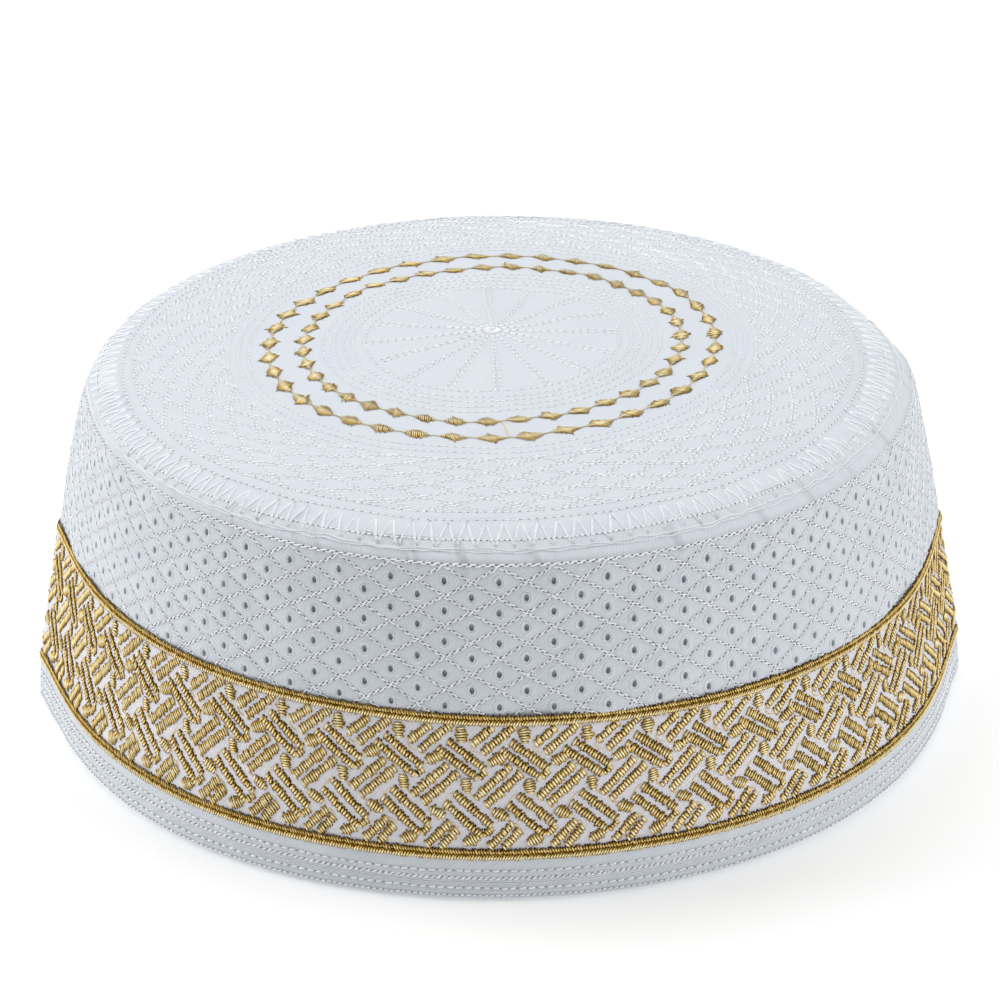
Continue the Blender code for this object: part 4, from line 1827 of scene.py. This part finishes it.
    def add_knob(self, sewn: Stitchery, knob: Knob) -> None:
        """Sew one knob in every repeat, as a stack of strokes that narrows to both ends.

        Args:
            sewn: The stitches that are gathered.
            knob: The knob.
        """
        centre = np.array([knob.across, knob.level])
        angle = math.radians(knob.stroke)
        heading = np.array([math.cos(angle), math.sin(angle)])
        stack = np.array([-heading[1], heading[0]])
        half_stack, half_stroke = (
            self.knob_share * math.hypot(knob.wide * way[0], knob.high * way[1])
            for way in (stack, heading)
        )
        count = max(5, round(2 * half_stack / self.knob_pitch))
        offset = ((np.arange(count) + 0.5) / count * 2 - 1)[:, None]
        middle = self.spots(centre + offset * half_stack * stack).reshape(-1, 2)
        half = half_stroke * np.sqrt(np.maximum(1 - 0.8 * offset[:, 0] ** 2, 0.1)) * MM
        strokes = heading * np.tile(half, self.repeats)[:, None]
        strokes = strokes * sewn.draw.uniform(0.80, 1.15, (len(middle), 1))
        strokes = strokes + sewn.draw.normal(0.0, 0.10 * MM, strokes.shape)
        clear = self.chart.clear_of_creases(middle[:, 0], self.pinch)
        sewn.satin(middle[clear], strokes[clear], self.knob_rise, 0.22 * MM)
        ends = centre + np.array([[-0.8], [0.8]]) * half_stack * stack
        pad_width = np.array([0.0, 0.4, 0.55, 0.4, 0.0]) * half_stroke * MM
        self.add_pads(sewn, ends, pad_width, 0.1 * MM)

    def fold(self, x: Array, y: Array) -> Array:
        """How shaded the cloth is beside the cords."""
        low, high = y - self.low - 1.3 * MM, y - self.high + 1.3 * MM
        return 0.4 * (bell(low, 0.5 * MM) + bell(high, 0.5 * MM))

    def build(self) -> list[bpy.types.Object]:
        """Build the cloth, the bars, the knobs and the fine threads."""
        rows = even_steps([self.low, self.high], 1.15 * MM)
        sheet = StripSheet(self.chart, rows, self.columns, self.thickness, self.relief)
        steep, shallow, knobs = (
            Stitchery(self.chart, self.relief, seed, self.side_shade, sides=4) for seed in (73, 74, 75)
        )
        for bar in self.bars:
            if (bar[2] - bar[0]) * (bar[3] - bar[1]) < 0:
                self.add_bar(shallow, bar, self.bar_width, self.falling_shade)
            else:
                self.add_bar(steep, bar, self.bar_width, 0.0)
        for join in self.joins:
            self.add_bar(shallow, join, self.join_width, self.falling_shade)
        for knob in self.knobs:
            self.add_knob(knobs, knob)
        fine = Stitchery(self.chart, self.relief, 76)
        for turn in self.turns:
            for line in self.spots(np.array(turn)):
                fine.trace(line, 0.12 * MM, 0.10 * MM, 7, 0.3)
        cloth = sheet.store(self.fold)
        gold = Slot.GOLD_THREAD
        return [
            self.finish("band_cloth", Slot.BAND_COTTON, cloth, "embroidered_band"),
            self.finish("rising_bars", gold, steep.store),
            self.finish("falling_bars", gold, shallow.store),
            self.finish("satin_knobs", gold, knobs.store),
            self.finish("turning_threads", gold, fine.store),
        ]


@dataclass
class GoldCord(WallPart):
    """One of the two gold cords that edge the band: two rows of satin stitches that meet in a chevron."""

    name: str
    node: str
    level: float
    width: float
    seed: int
    lean: float = 0.70 * MM
    meet: float = 0.06
    stroke_pitch: float = 0.54 * MM
    rise: float = 0.24 * MM
    body: float = 0.30 * MM
    pinch: float = 0.5 * MM
    half_stroke: float = 0.20 * MM
    side_shade: float = 0.24
    # Painted shade on the upper row of stitches.
    top_shade: float = 0.20
    # Painted shade of the dark core that shows between the stitches.
    core_shade: float = 0.8

    def relief(self, x: Array, y: Array) -> Array:
        """The cord's rounded body, which its stitches lie on."""
        away = (y - self.level) / (0.5 * self.width)
        return self.body * np.sqrt(np.clip(1 - away**2, 0.0, 1.0))

    def build(self) -> list[bpy.types.Object]:
        """Build the cord: its two rows of stitches and, under them, its core, painted dark with shade."""
        sewn = Stitchery(self.chart, self.relief, self.seed, self.side_shade, sides=4)
        count = round(self.chart.girth / self.stroke_pitch)
        for side in (-1, 1):
            across = (np.arange(count) + 0.25 * side) * self.chart.girth / count
            half = self.width * (0.25 - 0.5 * self.meet * side)
            sway = 0.05 * MM * np.sin(across / (9 * MM))
            level = self.level + self.width * self.meet + side * half + sway
            middle = np.stack([across, level], axis=-1)
            stroke = np.array([-side * self.lean / 2, half])
            stroke = stroke * sewn.draw.uniform(0.90, 1.42, (count, 1))
            stroke = stroke + sewn.draw.normal(0.0, 0.10 * MM, stroke.shape)
            clear = self.chart.clear_of_creases(across, self.pinch)
            shade = self.top_shade if side > 0 else 0.0
            sewn.satin(middle[clear], stroke[clear], self.rise, self.half_stroke, shade)
        left, right = self.chart.creases
        for start, end in ((left, right), (right, left + self.chart.girth)):
            around = np.linspace(start + self.pinch, end - self.pinch, 181)
            core = np.stack([around, np.full(181, self.level)], axis=-1)
            sewn.trace(core, 0.32 * self.width, 0.02 * MM, 160, self.core_shade)
        return [self.finish(self.name, Slot.GOLD_THREAD, sewn.store, self.node)]


@dataclass
class FoldedHem(WallPart):
    """The folded hem that the cap rests on, with its rows of stitches."""

    high: float = WallChart.low_level
    thickness: float = 2.7 * MM
    columns: int = 504
    foot_rows: int = 9
    grooves: tuple[float, ...] = (6.9, 5.3, 4.3, 2.9, 1.2)
    groove: float = 0.10 * MM
    dash: StitchKind = StitchKind(1.75 * MM, 0.80, 0.25 * MM, 0.22 * MM, hole_shadow=0.75)
    dot: StitchKind = StitchKind(1.15 * MM, 0.88, 0.19 * MM, 0.18 * MM, hole_shadow=0.75)
    dash_rows: tuple[float, ...] = (6.9, 2.9)
    stitch_rows: tuple[float, ...] = (6.9, 5.45, 5.15, 2.9, 1.2)
    tape_lines: tuple[float, ...] = (4.5, 4.1)

    def __post_init__(self) -> None:
        """Set the cloth's unevenness."""
        self.swell = self.ripple(81, 12 * MM)
        self.pucker = self.ripple(82, 3.0 * MM)

    def near_lines(self, x: Array, y: Array) -> Array:
        """How near each place is to a stitched line, 1 on the line."""
        near = np.zeros(np.broadcast(x, y).shape)
        for row in self.grooves:
            near = np.maximum(near, bell(y - row * MM, 0.42 * MM))
        return near

    def relief(self, x: Array, y: Array) -> Array:
        """The cloth's height over the form."""
        uneven = 0.08 * MM * self.swell(x, y) + 0.05 * MM * self.pucker(x, y)
        return (uneven - self.groove * self.near_lines(x, y)) * smoothstep(0.0, 2 * MM, y)

    def cloth(self) -> MeshStore:
        """Gather the hem's cloth, rounded at its foot."""
        half = self.thickness / 2
        bend = np.linspace(math.pi, 0.0, self.foot_rows)
        foot = half - half * np.sin(bend) + 0.12 * MM
        stops = [half, *(row * MM for row in self.grooves[-2::-1]), self.high]
        wall = even_steps(stops, 0.5 * MM)[1:]
        lifts = np.concatenate([half * np.cos(bend) - half, np.zeros(len(wall))])[:, None]
        store = MeshStore(place=3, fold=1)
        across = self.chart.columns_at(self.columns)
        x, y = np.meshgrid(across, np.concatenate([foot, wall]))
        points, _ = self.chart.lifted(x, y, self.relief(x, y) + lifts)
        place = plan_vectors(x, y + lifts)
        # Painted shade along the stitched grooves.
        outer = store.add_points(points, place=place, fold=self.near_lines(x, y))
        store.add_grid(outer)
        x, y = np.meshgrid(across, np.linspace(foot[0], self.high, 4)[1:])
        inner = self.chart.add_cloth(store, x, y, -self.thickness)
        store.add_grid(np.concatenate([outer[:1], inner]), flip=True)
        store.add_grid(np.stack([outer[-1], inner[-1]]))
        return store

    def stitches(self) -> MeshStore:
        """Gather the hem's rows of stitches and the two edges of its tape."""
        sewn = Stitchery(self.chart, self.relief, seed=83)
        for row in self.stitch_rows:
            line = self.chart.level_line(row * MM)
            line[:, 1] += 0.06 * MM * np.sin(line[:, 0] / (17 * MM) + row)
            sewn.run_along([line], self.dash if row in self.dash_rows else self.dot, phase=row)
        for row in self.tape_lines:
            sewn.trace(self.chart.level_line(row * MM), 0.07 * MM, 0.08 * MM, 480, 0.0)
        return sewn.store

    def build(self) -> list[bpy.types.Object]:
        """Build the hem's cloth and its stitches."""
        return [
            self.finish("folded_hem", Slot.WHITE_COTTON, self.cloth(), "hem_band"),
            self.finish("hem_stitches", Slot.WHITE_THREAD, self.stitches()),
        ]


@dataclass
class Studio:
    """The floor, the lights and the camera."""

    distance: float = 0.750
    elevation: float = 0.4581
    turn: float = -0.0476
    roll: float = -0.0056
    target: tuple[float, float, float] = (-0.1114 * MM, 0.0, 44.199 * MM)
    lens: float = 128.04
    sensor: float = 36.0
    floor_reach: float = 6.0
    sky: Colour = (0.96, 0.98, 1.0, 1.0)
    sky_strength: float = 0.23
    lit_height: float = 0.05
    lights: tuple[tuple[str, tuple[float, float, float], float, float], ...] = (
        ("top_light", (0.0, 0.35, 1.5), 1.4, 13.9),
        ("left_light", (-1.35, 0.28, 0.75), 1.0, 12.4),
        ("right_light", (1.26, -0.42, 0.75), 1.0, 8.4),
    )

    def build(self) -> None:
        """Build the stage."""
        self.add_floor()
        self.add_camera()
        self.add_lights()

    def add_floor(self) -> None:
        """Lay a wide pale floor."""
        mesh = bpy.data.meshes.new("floor")
        reach = self.floor_reach
        corners = [(x * reach, y * reach, 0.0) for x, y in ((-1, -1), (1, -1), (1, 1), (-1, 1))]
        mesh.from_pydata(corners, [], [(0, 1, 2, 3)])
        floor = bpy.data.objects.new("floor", mesh)
        floor.data.materials.append(FloorFinish().make())
        bpy.context.scene.collection.objects.link(floor)

    def add_camera(self) -> None:
        """Set the camera where the photograph was taken from."""
        data = bpy.data.cameras.new("camera")
        data.lens = self.lens
        data.sensor_width = self.sensor
        data.clip_start, data.clip_end = 0.01, 30.0
        camera = bpy.data.objects.new("camera", data)
        target = Vector(self.target)
        back = Vector((0.0, -math.cos(self.elevation), math.sin(self.elevation)))
        place = target + back * self.distance
        aim = back.to_track_quat("Z", "Y").to_matrix().to_4x4()
        roll = Matrix.Rotation(self.roll, 4, "Z")
        turn = Matrix.Rotation(self.turn, 4, "Z")
        camera.matrix_world = turn @ Matrix.Translation(place) @ aim @ roll
        bpy.context.scene.collection.objects.link(camera)
        bpy.context.scene.camera = camera

    def add_lights(self) -> None:
        """Hang three large soft lights and fill the rest with even white."""
        scene = bpy.context.scene
        world = bpy.data.worlds.new("studio")
        world.use_nodes = True
        background = world.node_tree.nodes["Background"]
        background.inputs["Color"].default_value = self.sky
        background.inputs["Strength"].default_value = self.sky_strength
        scene.world = world
        scene.view_settings.view_transform = "Standard"
        for name, place, size, power in self.lights:
            data = bpy.data.lights.new(name, "AREA")
            data.shape = "SQUARE"
            data.size = size
            data.energy = power
            light = bpy.data.objects.new(name, data)
            aim = Vector(place) - Vector((0.0, 0.0, self.lit_height))
            turned = aim.to_track_quat("Z", "Y").to_matrix().to_4x4()
            light.matrix_world = Matrix.Translation(place) @ turned
            scene.collection.objects.link(light)


def count_triangles(item: bpy.types.Object) -> int:
    """How many triangles a mesh object has."""
    return sum(len(face.vertices) - 2 for face in item.data.polygons)


def main() -> None:
    """Build every sub-assembly of the cap in order, then the studio."""
    logging.basicConfig(level=logging.INFO, format="%(name)s: %(message)s")
    form = CapForm()
    finishes = make_finishes()
    chart = WallChart(form)
    crown = QuiltedCrown(finishes, form)
    wall = PiercedWall(finishes, chart)
    parts = (
        crown,
        GoldRings(finishes, crown),
        wall,
        CrownSeam(finishes, chart, wall),
        BasketBand(finishes, chart),
        GoldCord(finishes, chart, "upper_braid", "upper_cord", chart.cord_level, 2.4 * MM, 91),
        GoldCord(finishes, chart, "lower_braid", "lower_cord", chart.low_level, 2.6 * MM, 92),
        FoldedHem(finishes, chart),
    )
    total = 0
    for part in parts:
        for item in part.build():
            triangles = count_triangles(item)
            total += triangles
            LOG.info("%s, %d triangles, by %s", item.name, triangles, type(part).__name__)
    Studio().build()
    LOG.info("%d triangles in all", total)


if __name__ == "__main__":
    main()
